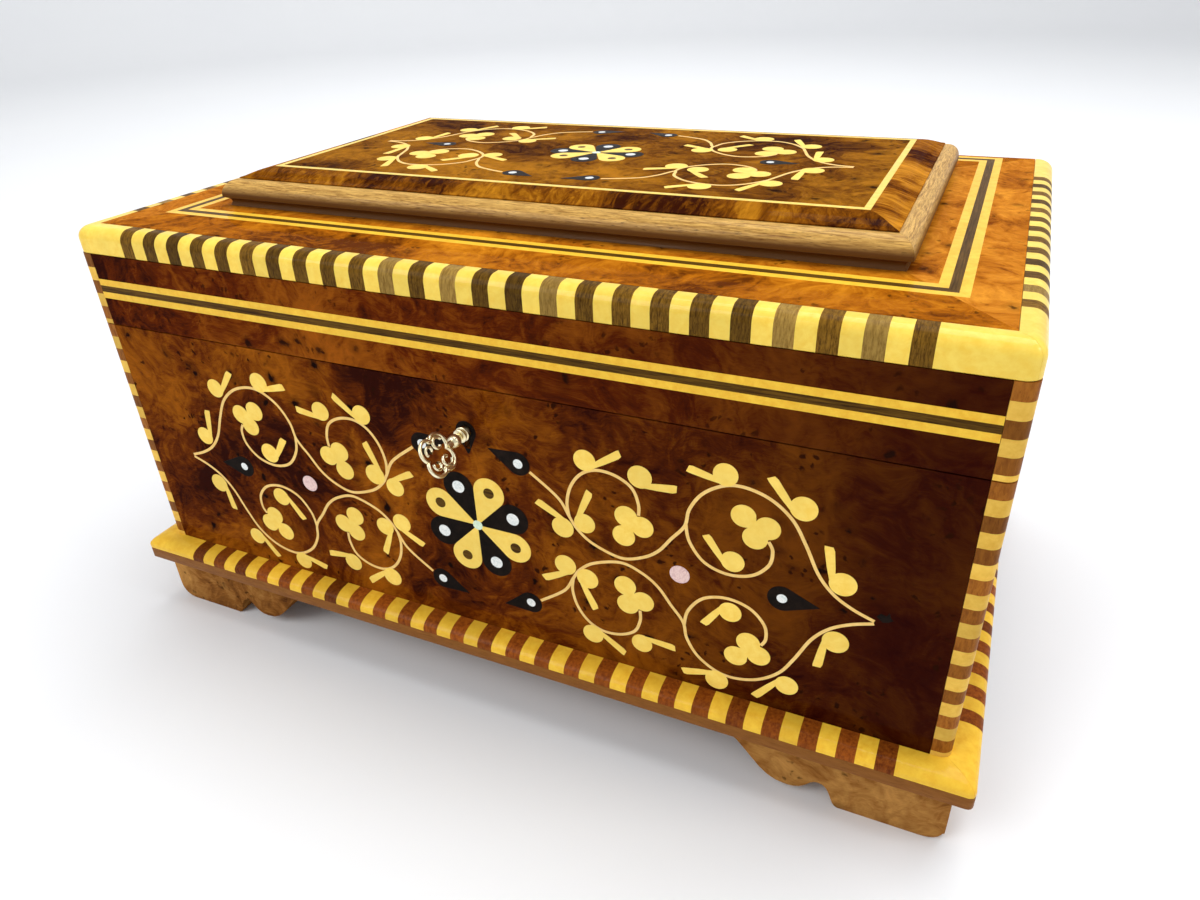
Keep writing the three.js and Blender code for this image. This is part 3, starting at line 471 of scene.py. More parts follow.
def circle(u, v, radius, steps=28):
    turn = 2 * math.pi / steps
    return [(u + radius * math.cos(i * turn), v + radius * math.sin(i * turn)) for i in range(steps)]


def drop(u, v, radius, tip_u, tip_v, steps=24):
    """A round with straight sides running to a point."""
    angle = math.atan2(tip_v - v, tip_u - u)
    reach = math.hypot(tip_u - u, tip_v - v)
    open_angle = math.acos(radius / reach)
    outline = [(tip_u, tip_v)]
    for i in range(steps + 1):
        a = angle + open_angle + (2 * math.pi - 2 * open_angle) * i / steps
        outline.append((u + radius * math.cos(a), v + radius * math.sin(a)))
    return outline


def strap(u, v, angle, length, root, tip):
    """The narrow leaf of a bud: it widens from its root to its tip's half width and ends blunt."""
    along = Vector((math.cos(angle), math.sin(angle)))
    across = Vector((-along.y, along.x))
    stations = [(0, -root), (length * 0.5, -tip * 0.85), (length * 0.88, -tip), (length * 0.97, -tip * 0.75),
                (length, tip * 0.9), (length * 0.93, tip), (length * 0.5, tip * 0.85), (0, root)]
    return [tuple(Vector((u, v)) + along * s + across * w) for s, w in stations]


def smooth_curve(points, per_span=10):
    """A Catmull-Rom curve through the points."""
    padded = [points[0], *points, points[-1]]
    curve = []
    for a, b, c, d in zip(padded, padded[1:], padded[2:], padded[3:]):
        for i in range(per_span):
            t = i / per_span
            curve.append(tuple(
                0.5 * (2 * q + (r - p) * t + (2 * p - 5 * q + 4 * r - s) * t ** 2
                       + (3 * q - p - 3 * r + s) * t ** 3)
                for p, q, r, s in zip(a, b, c, d)))
    curve.append(tuple(points[-1]))
    return curve


def ribbon(points, width):
    """The outline of a line of even width along a smooth curve."""
    curve = smooth_curve(points)
    left = []
    right = []
    for i, (u, v) in enumerate(curve):
        before = curve[max(i - 1, 0)]
        after = curve[min(i + 1, len(curve) - 1)]
        du, dv = after[0] - before[0], after[1] - before[1]
        size = math.hypot(du, dv)
        left.append((u - dv / size * width / 2, v + du / size * width / 2))
        right.append((u + dv / size * width / 2, v - du / size * width / 2))
    return left, right


def stem_lines(name, panel, curves, width, material, lift):
    """Thin lines of inlay along the curves, in one piece. Crossing lines lie at slightly unlike heights."""
    points = []
    faces = []
    for number, curve in enumerate(curves):
        left, right = ribbon(curve, width)
        start = len(points)
        height = lift + 0.004 * (number % 5)
        for (lu, lv), (ru, rv) in zip(left, right):
            points += [panel.point(lu, lv, SUNK), panel.point(lu, lv, height),
                       panel.point(ru, rv, height), panel.point(ru, rv, SUNK)]
        faces += skin(len(left), 4, start, ring=False)
        end = start + 4 * (len(left) - 1)
        faces += [(start, start + 3, start + 2, start + 1), (end, end + 1, end + 2, end + 3)]
    made = make_object(name, points, faces, [material])
    return finish_piece(made, panel.body)


QUADRANTS = [(1, 1), (1, -1), (-1, 1), (-1, -1)]

# ------------------------------------------------------------------ sizes in millimetres, from the frame

MIDDLE = MIDDLE_Y / MM
HALF_W = SIDE_X / MM
HALF_D = (BACK_Y - FRONT_Y) / 2 / MM
RIM = RIM_Z / MM
BOARD_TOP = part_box("plinth_board")[1].z / MM
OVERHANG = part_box("plinth_board")[1].x / MM - HALF_W
WALL_BOTTOM = wall_low.z / MM
LID_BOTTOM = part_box("lid_front_rail")[0].z / MM
RAIL_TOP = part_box("lid_front_rail")[1].z / MM
LID_TOP = TOP_Z / MM
LID_BAND = 6.5
PANEL_HALF_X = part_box("moulding_front")[1].x / MM
PANEL_HALF_Y = (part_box("moulding_back")[1].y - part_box("moulding_front")[0].y) / 2 / MM
PANEL_MIDDLE = PANEL_Y / MM - MIDDLE    # how far behind the lid's middle the raised panel stands
MOULDING_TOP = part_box("moulding_front")[1].z / MM
INLAY_ALLOWANCE = 0.12                  # keeps the inlay on the field below the CAD height
FIELD_TOP = FIELD_Z / MM - INLAY_ALLOWANCE
KEY_HEIGHT = KEY_Z / MM
POST = 5.6
POST_ROUND = 3.2
MITRE_GAP = 0.04

dice = random.Random(11)


def at(x, y, z, turn=0.0):
    """A place in metres from case-centred millimetres, turned about the case's upright middle line."""
    c, s = math.cos(turn), math.sin(turn)
    return Vector((x * c - y * s, x * s + y * c + MIDDLE, z)) * MM


def arc(cu, cv, radius, start, end, steps):
    """Points on an arc between two angles in degrees."""
    points = []
    for i in range(steps + 1):
        a = math.radians(start + (end - start) * i / steps)
        points.append((cu + radius * math.cos(a), cv + radius * math.sin(a)))
    return points


def tone():
    """A random brightness for one small block of wood."""
    return 0.5 + dice.uniform(-0.5, 0.5)


# ------------------------------------------------------------------ striped bands

YELLOW, DARK, PALE = 0, 1, 2
END_STEPS = 7


def corner_reach(angle, width, radius):
    """How far a ray from the inner corner of a corner block runs to its rounded outer edge."""
    if width * math.tan(angle) <= width - radius:
        return width / math.cos(angle)
    inset = width - radius
    along = inset * (math.sin(angle) + math.cos(angle))
    return along + math.sqrt(along ** 2 - 2 * inset ** 2 + radius ** 2)


def frame_strip(name, profile, half_along, half_across, turn, cuts, kinds, radius, square, materials):
    """One side of a rectangular frame. The profile lists (distance out, height) from the frame's inner
    line, cuts are the places along it where the wood changes, and an end named in square isn't mitred."""
    width = max(out for out, _ in profile)
    inner = half_along - MITRE_GAP
    round_start = half_along + width - radius

    def straight(x):
        return [at(x, -half_across - out, z, turn) for out, z in profile]

    def fanned(x, angle, reach):
        """A section turned about the frame's inner corner, out to the rounded corner block."""
        lean = math.sin(angle) * reach / width
        fall = math.cos(angle) * reach / width
        return [at(x + lean * out, -half_across - fall * out, z, turn) for out, z in profile]

    def rounded(x):
        """A section near a square end, whose outer corner is rounded."""
        into = max(abs(x) - round_start, 0)
        reach = width - radius + math.sqrt(max(radius ** 2 - into ** 2, 0))
        return [at(x, -half_across - out * reach / width, z, turn) for out, z in profile]

    def end_section(step, side):
        """One of an end's sections: step 0 is the last straight one, END_STEPS the outermost."""
        if ("start" if side < 0 else "end") in square:
            along = math.sin(math.pi / 2 * step / END_STEPS)
            return rounded(side * (round_start + radius * along))
        angle = math.pi / 4 * step / END_STEPS
        return fanned(side * inner, side * angle, corner_reach(angle, width, radius))

    sections = [end_section(step, -1) for step in range(END_STEPS, 0, -1)]
    spans = [(kinds[0], 0.5)] * END_STEPS
    sections.append(straight(-round_start if "start" in square else -inner))
    for cut, kind in zip(cuts, kinds):
        sections.append(straight(cut))
        spans.append((kind, tone()))
    sections.append(straight(round_start if "end" in square else inner))
    spans.append((kinds[-1], 0.5))
    sections += [end_section(step, 1) for step in range(1, END_STEPS + 1)]
    spans += [(kinds[-1], 0.5)] * END_STEPS
    return loft(name, sections, [kind for kind, _ in spans], materials, [shade for _, shade in spans])


def stripes(start, pitch, count, pale=0.0):
    """Cuts and kinds of a row of stripes that begins and ends dark between two yellow blocks."""
    cuts = [start + pitch * i for i in range(count + 1)]
    row = [YELLOW if i % 2 else PALE if pale and dice.random() < pale else DARK for i in range(count)]
    return cuts, [YELLOW, *row, YELLOW]


def reversed_row(cuts, kinds):
    return [-c for c in cuts][::-1], kinds[::-1]


LID_ROUND = 4.0
lid_profile = [(0, RAIL_TOP + 0.1), (LID_BAND - 0.3, RAIL_TOP + 0.1), (LID_BAND, RAIL_TOP + 0.4),
               *arc(LID_BAND - LID_ROUND, LID_TOP - LID_ROUND, LID_ROUND, 0, 90, 12), (0, LID_TOP)]
LID_INNER_X = HALF_W - LID_BAND
LID_INNER_Y = HALF_D - LID_BAND
LID_PITCH, LID_SIDE_PITCH, BASE_PITCH = 5.204, 5.33, 5.49
lid_front = stripes(-HALF_W + 22.5, LID_PITCH, 49, 0.12)
lid_side = stripes(-HALF_D + 22.3, LID_SIDE_PITCH, 25, 0.15)
lid_rows = [
    ("front", 0, LID_INNER_X, LID_INNER_Y, lid_front, ""),
    ("right", math.pi / 2, LID_INNER_Y, LID_INNER_X, lid_side, "end"),
    ("left", -math.pi / 2, LID_INNER_Y, LID_INNER_X, reversed_row(*lid_side), "start"),
]
for side, turn, along, across, (cuts, kinds), square in lid_rows:
    dark_wood = WALNUT_CROSS if side == "front" else WALNUT
    band = frame_strip("lid_banding_" + side, lid_profile, along, across, turn, cuts, kinds, 3.6, square,
                       [LEMONWOOD, dark_wood, TAN_WOOD])
    finish_piece(band, "lid", ["lid_band_" + side])

TUCK = 1.0                              # the base banding reaches this far under the walls
base_width = OVERHANG + TUCK
base_profile = [(0, BOARD_TOP + 0.1), (base_width, BOARD_TOP + 0.1), (base_width, BOARD_TOP + 0.9)]
base_profile += [(base_width - 5.5 * (1 - c), BOARD_TOP + 1 + 3.2 * s) for c, s in arc(0, 0, 1, 8, 90, 12)]
base_profile += [(0, BOARD_TOP + 4.2)]
base_front = stripes(-HALF_W - OVERHANG + 25, BASE_PITCH, 49)
base_side = stripes(-HALF_D - OVERHANG + 24, BASE_PITCH, 27)
base_rows = [
    ("front", 0, HALF_W - TUCK, HALF_D - TUCK, base_front),
    ("right", math.pi / 2, HALF_D - TUCK, HALF_W - TUCK, base_side),
    ("back", math.pi, HALF_W - TUCK, HALF_D - TUCK, reversed_row(*base_front)),
    ("left", -math.pi / 2, HALF_D - TUCK, HALF_W - TUCK, reversed_row(*base_side)),
]
for side, turn, along, across, (cuts, kinds) in base_rows:
    band = frame_strip("base_banding_" + side, base_profile, along, across, turn, cuts, kinds, 1.8, "",
                       [GOLD_WOOD, MAHOGANY])
    finish_piece(band, "case", ["base_band_" + side])


def corner_post(name, sign_x, sign_y, levels, kinds, body, node):
    x, y = HALF_W, HALF_D
    plan = [(x - POST, y - POST), (x, y - POST),
            *arc(x - POST_ROUND, y - POST_ROUND, POST_ROUND, 0, 90, 12), (x - POST, y)]
    sections = [[at(px * sign_x, py * sign_y, z) for px, py in plan] for z in levels]
    made = loft(name, sections, kinds, [POST_YELLOW, POST_BROWN], [tone() for _ in kinds])
    finish_piece(made, body, [node])


def levels_down(top, bottom, pitch):
    levels = []
    z = top
    while z > bottom + 0.5:
        levels.append(z)
        z -= pitch
    levels.append(bottom)
    return levels[::-1]


POST_PITCH = 4.73
for side, sign_x in (("left", -1), ("right", 1)):
    for end, sign_y in (("front", -1), ("back", 1)):
        for part, top, bottom in (("case", RIM, WALL_BOTTOM), ("lid", RAIL_TOP, LID_BOTTOM)):
            levels = levels_down(top, bottom, POST_PITCH)
            count = len(levels) - 1
            kinds = [DARK if (count - 1 - i) % 2 == 0 else YELLOW for i in range(count)]
            node = "%s_post_%s_%s" % (part, end, side)
            corner_post(node + "_stripes", sign_x, sign_y, levels, kinds, part, node)

# ------------------------------------------------------------------ veneers, stringing and moulding

lid_face = Panel(at(0, 0, LID_TOP), (1, 0, 0), (0, 1, 0), "lid")
field_face = Panel(at(0, PANEL_MIDDLE, FIELD_TOP), (1, 0, 0), (0, 1, 0), "lid")
case_front = Panel(at(0, -HALF_D, 0), (1, 0, 0), (0, 0, 1), "case")
lid_walls = {
    "front": Panel(at(0, -HALF_D, 0), (1, 0, 0), (0, 0, 1), "lid"),
    "right": Panel(at(HALF_W, 0, 0), (0, 1, 0), (0, 0, 1), "lid"),
    "left": Panel(at(-HALF_W, 0, 0), (0, -1, 0), (0, 0, 1), "lid"),
}


def border(outer, inner):
    """Four mitred bars between two rectangles given as (left, right, low, high): front, right, back, left."""
    left, right, low, high = outer
    in_left, in_right, in_low, in_high = inner
    return [
        [(left, low), (right, low), (in_right, in_low), (in_left, in_low)],
        [(right, low), (right, high), (in_right, in_high), (in_right, in_low)],
        [(right, high), (left, high), (in_left, in_high), (in_right, in_high)],
        [(left, high), (left, low), (in_left, in_low), (in_left, in_high)],
    ]


def inset(box, amount):
    left, right, low, high = box
    return (left + amount, right - amount, low + amount, high - amount)


lid_edge = (-HALF_W + LID_BAND + 0.1, HALF_W - LID_BAND - 0.1, -HALF_D + LID_BAND + 0.1, HALF_D)
under_moulding = (-PANEL_HALF_X + 3, PANEL_HALF_X - 3, PANEL_MIDDLE - PANEL_HALF_Y + 3,
                  PANEL_MIDDLE + PANEL_HALF_Y - 3)
margins = border(lid_edge, under_moulding)
flat_shapes("lid_veneer_lengthwise", lid_face, [margins[0], margins[2]], BURL_TOP, 0.03)
flat_shapes("lid_veneer_crosswise", lid_face, [margins[1], margins[3]], BURL_TOP_TURNED, 0.03)

LINE = 2.63                             # width of one line of the stringing
string_box = (-132.2, 132.2, -68.4, 90.5)
for name, step, material in (("outer", 0, GOLD_WOOD), ("core", 1, LINE_DARK), ("inner", 2, GOLD_WOOD)):
    bars = border(inset(string_box, LINE * step), inset(string_box, LINE * (step + 1)))
    flat_shapes("lid_stringing_" + name, lid_face, [bars[0], bars[2]], material, 0.06)
    crossed = LINE_DARK_CROSS if name == "core" else material
    flat_shapes("lid_stringing_%s_sides" % name, lid_face, [bars[1], bars[3]], crossed, 0.06)

RAIL_LINES = [("low", 132.9, 135.2, GOLD_WOOD), ("core", 135.2, 137.5, LINE_DARK),
              ("high", 137.5, 139.8, GOLD_WOOD)]
for side, wall in lid_walls.items():
    reach = (HALF_W if side == "front" else HALF_D) - POST - 0.1
    for name, low, high, material in RAIL_LINES:
        if name == "core" and side != "front":
            material = LINE_DARK_CROSS
        line = [(-reach, low), (reach, low), (reach, high), (-reach, high)]
        flat_shapes("rail_line_%s_%s" % (side, name), wall, [line], material, 0.06)


def moulding_profile():
    """A half round above a hollow: (distance out, height) pairs."""
    points = [(0, LID_TOP + 0.1), (10.4, LID_TOP + 0.1), (10.2, LID_TOP + 0.7), (9.9, LID_TOP + 1.4)]
    points += [(10.0, LID_TOP + 2.0), (10.5, LID_TOP + 2.6), (11.4, LID_TOP + 3.0)]
    points += arc(7, MOULDING_TOP - 5, 5, -8, 90, 16)
    return points + [(0, MOULDING_TOP)]


MOULDING_WIDTH = 12
FIELD_INSET = 14.2
moulding_rows = [
    ("front", 0, PANEL_HALF_X, PANEL_HALF_Y),
    ("right", math.pi / 2, PANEL_HALF_Y, PANEL_HALF_X),
    ("back", math.pi, PANEL_HALF_X, PANEL_HALF_Y),
    ("left", -math.pi / 2, PANEL_HALF_Y, PANEL_HALF_X),
]
for side, turn, along, across in moulding_rows:
    wood = MOULDING_WOOD if side in ("front", "back") else MOULDING_WOOD_CROSS
    strip = frame_strip("moulding_%s_fine" % side, moulding_profile(), along - MOULDING_WIDTH,
                        across - MOULDING_WIDTH, turn, [], [0], 0.6, "", [wood])
    for vertex in strip.data.vertices:
        vertex.co.y += PANEL_MIDDLE * MM
    finish_piece(strip, "lid", ["moulding_" + side])


def raised_panel():
    """The panel inside the moulding: a low step, a bevelled margin in cross-banded veneer and the field."""

    def ring(amount, z):
        x, y = PANEL_HALF_X - amount, PANEL_HALF_Y - amount
        return [at(-x, PANEL_MIDDLE - y, z), at(x, PANEL_MIDDLE - y, z),
                at(x, PANEL_MIDDLE + y, z), at(-x, PANEL_MIDDLE + y, z)]

    step, ledge, bevel_steps = MOULDING_TOP + 0.1, 0.35, 8
    foot, bevel_start = MOULDING_WIDTH + 0.1, 5.2
    levels = [(foot, LID_TOP + 0.1), (foot, step), (bevel_start, step), (bevel_start, step + ledge)]
    rise = FIELD_TOP - step - ledge
    run = FIELD_INSET - bevel_start - 0.2
    for i in range(1, bevel_steps + 1):
        part = i / bevel_steps
        height = step + ledge + rise * math.sin(part * math.pi / 2) ** 1.2
        levels.append((bevel_start + 0.2 + run * part, height))
    points = [point for level in levels for point in ring(*level)]
    last = 4 * (len(levels) - 1)
    faces = [(3, 2, 1, 0), *skin(len(levels), 4), tuple(range(last, last + 4))]
    lengthwise, crosswise, field = 0, 1, 2
    indices = [lengthwise, *[lengthwise, crosswise] * (2 * (len(levels) - 1)), field]
    made = make_object("raised_panel_veneered", points, faces, [BURL_BEVEL, BURL_BEVEL_TURNED, BURL_FIELD],
                       indices, True)
    made.data.set_sharp_from_angle(angle=math.radians(25))
    finish_piece(made, "lid", ["raised_panel"])


raised_panel()
field_edge = inset((-PANEL_HALF_X, PANEL_HALF_X, -PANEL_HALF_Y, PANEL_HALF_Y), FIELD_INSET)
flat_shapes("field_stringing", field_face, border(field_edge, inset(field_edge, 2.0)), LEMONWOOD,
            0.06)

# ------------------------------------------------------------------ scroll ornament

STEM_LIFT, LEAF_LIFT, DOT_LIFT = 0.05, 0.07, 0.09
BUD_RADIUS = 3.6


def nearest(curves, u, v):
    return min((point for curve in curves for point in smooth_curve(curve)),
               key=lambda p: (p[0] - u) ** 2 + (p[1] - v) ** 2)


def bud_strap(u, v, end_u, end_v, stem, radius):
    """The leaf beside a round bud: it starts where the bud touches the stem and runs to (end_u, end_v)."""
    back = math.atan2(v - end_v, u - end_u)
    far = math.hypot(u - end_u, v - end_v)
    offset = radius * 0.74
    best = None
    for sign in (-1, 1):
        angle = back + sign * math.asin(offset / far)
        run = math.sqrt(far ** 2 - offset ** 2)
        touch = (end_u + run * math.cos(angle), end_v + run * math.sin(angle))
        away = math.hypot(touch[0] - stem[0], touch[1] - stem[1])
        if best is None or away < best[0]:
            best = (away, touch, angle + math.pi)
    _, touch, angle = best
    start = (touch[0] - 1.6 * math.cos(angle), touch[1] - 1.6 * math.sin(angle))
    length = math.hypot(end_u - start[0], end_v - start[1])
    return strap(start[0], start[1], angle, length, 0.55, radius * 0.36)


def clover(rounds, steps=96):
    """The outline around three overlapping rounds (u, v, radius), measured from their middle."""
    mid_u = sum(r[0] for r in rounds) / 3
    mid_v = sum(r[1] for r in rounds) / 3
    outline = []
    for i in range(steps):
        a = 2 * math.pi * i / steps
        du, dv = math.cos(a), math.sin(a)
        far = 0.4
        for u, v, radius in rounds:
            along = (u - mid_u) * du + (v - mid_v) * dv
            inside = radius ** 2 - (u - mid_u) ** 2 - (v - mid_v) ** 2 + along ** 2
            if inside > 0:
                far = max(far, along + math.sqrt(inside))
        outline.append((mid_u + far * du, mid_v + far * dv))
    return outline


def scroll_ornament(name, panel, centre_v, stems, buds, clovers, drops):
    """One quarter of a scroll drawn once and mirrored into all four, each with small hand-cut differences."""
    jitter, stem_width = 0.5, 1.0
    stem_set, bud_set, strap_set, clover_set, drop_set, dot_set = [], [], [], [], [], []
    for sign_u, sign_v in QUADRANTS:
        def place(points):
            turned = [(u * sign_u, v * sign_v + centre_v) for u, v in points]
            return turned[::-1] if sign_u * sign_v < 0 else turned
        stem_set += [[(u * sign_u, v * sign_v + centre_v) for u, v in stem] for stem in stems]
        for (u, v), (end_u, end_v) in buds:
            touch = nearest(stems, u, v)
            swing = dice.uniform(-jitter, jitter)
            size = BUD_RADIUS * (1 + dice.uniform(-0.05, 0.05))
            bud_set.append(place(circle(u, v, size)))
            strap_set.append(place(bud_strap(u, v, end_u + swing, end_v - swing, touch, size)))
        clover_set += [place(clover(rounds)) for rounds in clovers]
        for (u, v), (tip_u, tip_v), size, dot in drops:
            on_middle_line = abs(v) <= 1
            if not on_middle_line or sign_v > 0:
                drop_set.append(place(drop(u, v, size, tip_u, tip_v)))
                dot_set.append(place(circle(u, v, dot, 20)))
    stem_lines(name + "_stems", panel, stem_set, stem_width, STEM_WOOD, STEM_LIFT)
    tones = [0.5 + dice.uniform(-0.3, 0.3) for _ in bud_set]
    flat_shapes(name + "_buds", panel, bud_set, BUD_WOOD, LEAF_LIFT, tones)
    flat_shapes(name + "_straps", panel, strap_set, BUD_WOOD, LEAF_LIFT - 0.01, tones)
    flat_shapes(name + "_clovers", panel, clover_set, BUD_WOOD, LEAF_LIFT)
    flat_shapes(name + "_drops", panel, drop_set, BLACK_WOOD, LEAF_LIFT)
    flat_shapes(name + "_drop_dots", panel, dot_set, PEARL, DOT_LIFT)


def rosette(name, panel, centre_v, radius_u, radius_v, petal, first_angle, hole, dot, core):
    """Eight petals, yellow and black in turn. Yellow ones have a dark hole, black ones a pearl dot."""
    yellow, black, holes, dots = [], [], [], []
    for k in range(8):
        a = math.radians(first_angle + 45 * k)
        u, v = radius_u * math.cos(a), centre_v + radius_v * math.sin(a)
        shape = drop(u, v, petal, 0, centre_v)
        (yellow if k % 2 == 0 else black).append(shape)
        (holes if k % 2 == 0 else dots).append(circle(u, v, hole if k % 2 == 0 else dot, 24))
    flat_shapes(name + "_petals", panel, yellow, BUD_WOOD, LEAF_LIFT + 0.01)
    flat_shapes(name + "_black_petals", panel, black, BLACK_WOOD, LEAF_LIFT)
    flat_shapes(name + "_holes", panel, holes, LINE_DARK, DOT_LIFT)
    flat_shapes(name + "_pearls", panel, dots, PEARL, DOT_LIFT)
    middle = [circle(0, centre_v, core, 24)]
    flat_shapes(name + "_core", panel, middle, GREEN_PEARL, DOT_LIFT + 0.02)


FRONT_CENTRE = 73.3
front_stems = [
    [(21, 24.7), (30, 17.7), (33.5, 11.7), (36, 7.7), (41, 3.7), (50, 0.9), (57, 3), (62, 6.7), (66, 12.2),
     (70, 17.7), (71.3, 23.7), (75, 29.7), (81, 33.7), (87, 34.4), (94, 32.2), (100, 27.2), (104, 20.2),
     (108, 11.7), (112.5, 6.2), (118, 2.7), (124, 0.4)],
    [(33.5, 11.7), (33, 16.7), (34.5, 22.7), (38, 27.7), (43, 30.2), (49, 29.7), (54, 26.7), (56, 21.7),
     (56, 17.7)],
    [(70.3, 18.7), (71.5, 12.7), (76, 6.7), (83, 4.4), (90, 6), (94.5, 10.7), (95.3, 15.7), (94, 18.7)],
]
front_buds = [
    ((39.5, 32.7), (50.5, 37.7)), ((56.5, 30.9), (67.5, 29.5)), ((81.2, 37.2), (70, 37.5)),
    ((102.5, 31.5), (93.5, 39.2)), ((114.7, 10.2), (110.3, 21.4)), ((84.3, 9.2), (75.8, 16.9)),
    ((31, 7.2), (22.7, 14.7)), ((38.5, 10.5), (41, 22.2)),
]
front_clovers = [
    [(52, 16.4, 3.6), (57, 13.9, 3.6), (51.2, 9.4, 3.6)],
    [(86.7, 25.3, 3.6), (93.5, 22.9, 3.6), (90.2, 18.9, 3.6)],
]
front_drops = [
    ((17.2, 26.7), (7, 30.2), 4.0, 1.6),
    ((98.9, 0.5), (109.5, 0.2), 4.2, 1.5),
]
scroll_ornament("front_scroll", case_front, FRONT_CENTRE, front_stems, front_buds, front_clovers, front_drops)
flat_shapes("front_pink_dots", case_front, [circle(s * 68.7, FRONT_CENTRE + 0.1, 3.1) for s in (-1, 1)],
            PINK_PEARL, DOT_LIFT)
fleck = [(-2.2, 0.2), (-1.2, 1.6), (0.3, 1.1), (1.0, 2.4), (1.5, 0.8), (2.3, 0.1), (1.0, -0.9), (-0.4, -1.3)]
fleck_place = [(126.5 + u, FRONT_CENTRE + 2.0 + v) for u, v in fleck]
flat_shapes("front_flecks", case_front, [fleck_place], BLACK_WOOD, 0.03)
rosette("front_rosette", case_front, FRONT_CENTRE, 14.5, 14.5, 5.5, 67.5, 1.9, 2.2, 1.8)

top_stems = [
    [(18, -36), (24, -34), (30, -31), (34, -26), (37, -20), (39, -26), (44, -31), (50, -33.5), (57, -34),
     (63, -31), (68, -25), (70, -20), (73, -12), (78, -5), (84, -1.5), (90, -0.5)],
    [(37, -20), (37.5, -16), (40, -12), (45, -8), (51, -6), (58, -8), (61.5, -12), (61, -15)],
]
top_buds = [
    ((35, -13), (26, -20)), ((43.5, -16), (49, -26)), ((51, -37), (41, -41)),
    ((70.5, -28), (63, -39)), ((78.8, -8), (75.5, -21)),
]
top_clovers = [[(58, -13, 3.7), (64, -17, 3.7), (58.5, -21, 3.7)]]
top_drops = [((14, -36), (5, -39), 3.4, 1.4), ((63, 0.2), (73, 0.2), 3.4, 1.3)]
scroll_ornament("top_scroll", field_face, 0, top_stems, top_buds, top_clovers, top_drops)
rosette("top_rosette", field_face, 0, 13.2, 10.6, 4.6, 45, 1.5, 1.8, 1.6)


def keyhole_reach(angle):
    """Distance from the lock's axis to the edge of the keyhole: a round with a slot below it."""
    round_radius, slot_half, slot_reach, shoulder = 1.9, 0.95, 6.0, 0.95
    du, dv = math.cos(angle), math.sin(angle)
    if dv >= 0 or abs(du / dv) > shoulder:
        return round_radius
    return min(slot_reach / abs(dv), slot_half / max(abs(du), 1e-6))


def keyhole_inlay():
    """A black drop let into the front around the keyhole."""
    steps = 96
    radius, tip = 3.5, 8.3
    lean = math.asin(radius / tip)
    points = []
    for i in range(steps):
        a = 2 * math.pi * (i + 0.5) / steps
        from_below = abs((a - math.pi / 2) % (2 * math.pi) - math.pi)
        outer = radius
        if from_below < math.pi / 2 - lean:
            outer = min(radius / math.cos(math.pi / 2 - lean - from_below), tip)
        hole = keyhole_reach(a)
        for reach, lift in ((outer, SUNK), (outer, DOT_LIFT), (hole, DOT_LIFT), (hole, SUNK)):
            points.append(case_front.point(reach * math.cos(a), KEY_HEIGHT + reach * math.sin(a), lift))
    made = make_object("keyhole_inlay", points, skin(steps, 4, ring=False, loop=True), [BLACK_WOOD])
    fix_normals(made)
    finish_piece(made, "case")


keyhole_inlay()

# ------------------------------------------------------------------ key


def wire(centres, radius, closed=True, sides=12):
    """Points and faces of a round wire along a curve in the key's upright plane: centres are (y, z)."""
    points = []
    count = len(centres)
    for i, (y, z) in enumerate(centres):
        before = centres[(i - 1) % count] if closed or i else centres[0]
        after = centres[(i + 1) % count] if closed or i < count - 1 else centres[-1]
        ty, tz = after[0] - before[0], after[1] - before[1]
        size = math.hypot(ty, tz)
        for k in range(sides):
            a = 2 * math.pi * k / sides
            across = radius * math.cos(a)
            points.append((radius * math.sin(a), y - tz / size * across, z + ty / size * across))
    return points, skin(count, sides, loop=closed)


def turned_rod(profile, sides=28):
    """Points and faces of a turned bar along y: the profile lists (y, radius), closed at both ends."""
    points = []
    for y, radius in profile:
        for k in range(sides):
            a = 2 * math.pi * k / sides
            points.append((radius * math.cos(a), y, radius * math.sin(a)))
    last = (len(profile) - 1) * sides
    ends = [tuple(range(sides)), tuple(range(last, last + sides))]
    return points, skin(len(profile), sides) + ends


def bead(y, half, radius):
    """The profile of a rounded collar on the key's shank."""
    steps, shank = 5, 1.1
    turns = [math.pi * i / steps for i in range(steps + 1)]
    return [(y - half * math.cos(turn), shank + (radius - shank) * math.sin(turn)) for turn in turns]


def curl(y, z, outer, inner, start, sign):
    """A wire curl around (y, z) that narrows from the outer radius to the inner one in a turn."""
    steps, sweep = 26, 5.2
    curve = []
    for i in range(steps + 1):
        a = start + sweep * i / steps
        radius = outer + (inner - outer) * i / steps
        curve.append((y + radius * math.cos(a), z + sign * radius * math.sin(a)))
    return curve


def bead_ring(y, z):
    """A small ring in the notch between two lobes of the bow."""
    return wire(circle(y, z, 0.75, 16), 0.4)


BOW_TURN = math.radians(30)


def turned_about_shank(point):
    """The bow's plane is turned about the shank, its upper half to the left."""
    x, y, z = point
    c, s = math.cos(BOW_TURN), math.sin(BOW_TURN)
    return (x * c - z * s, y, x * s + z * c)


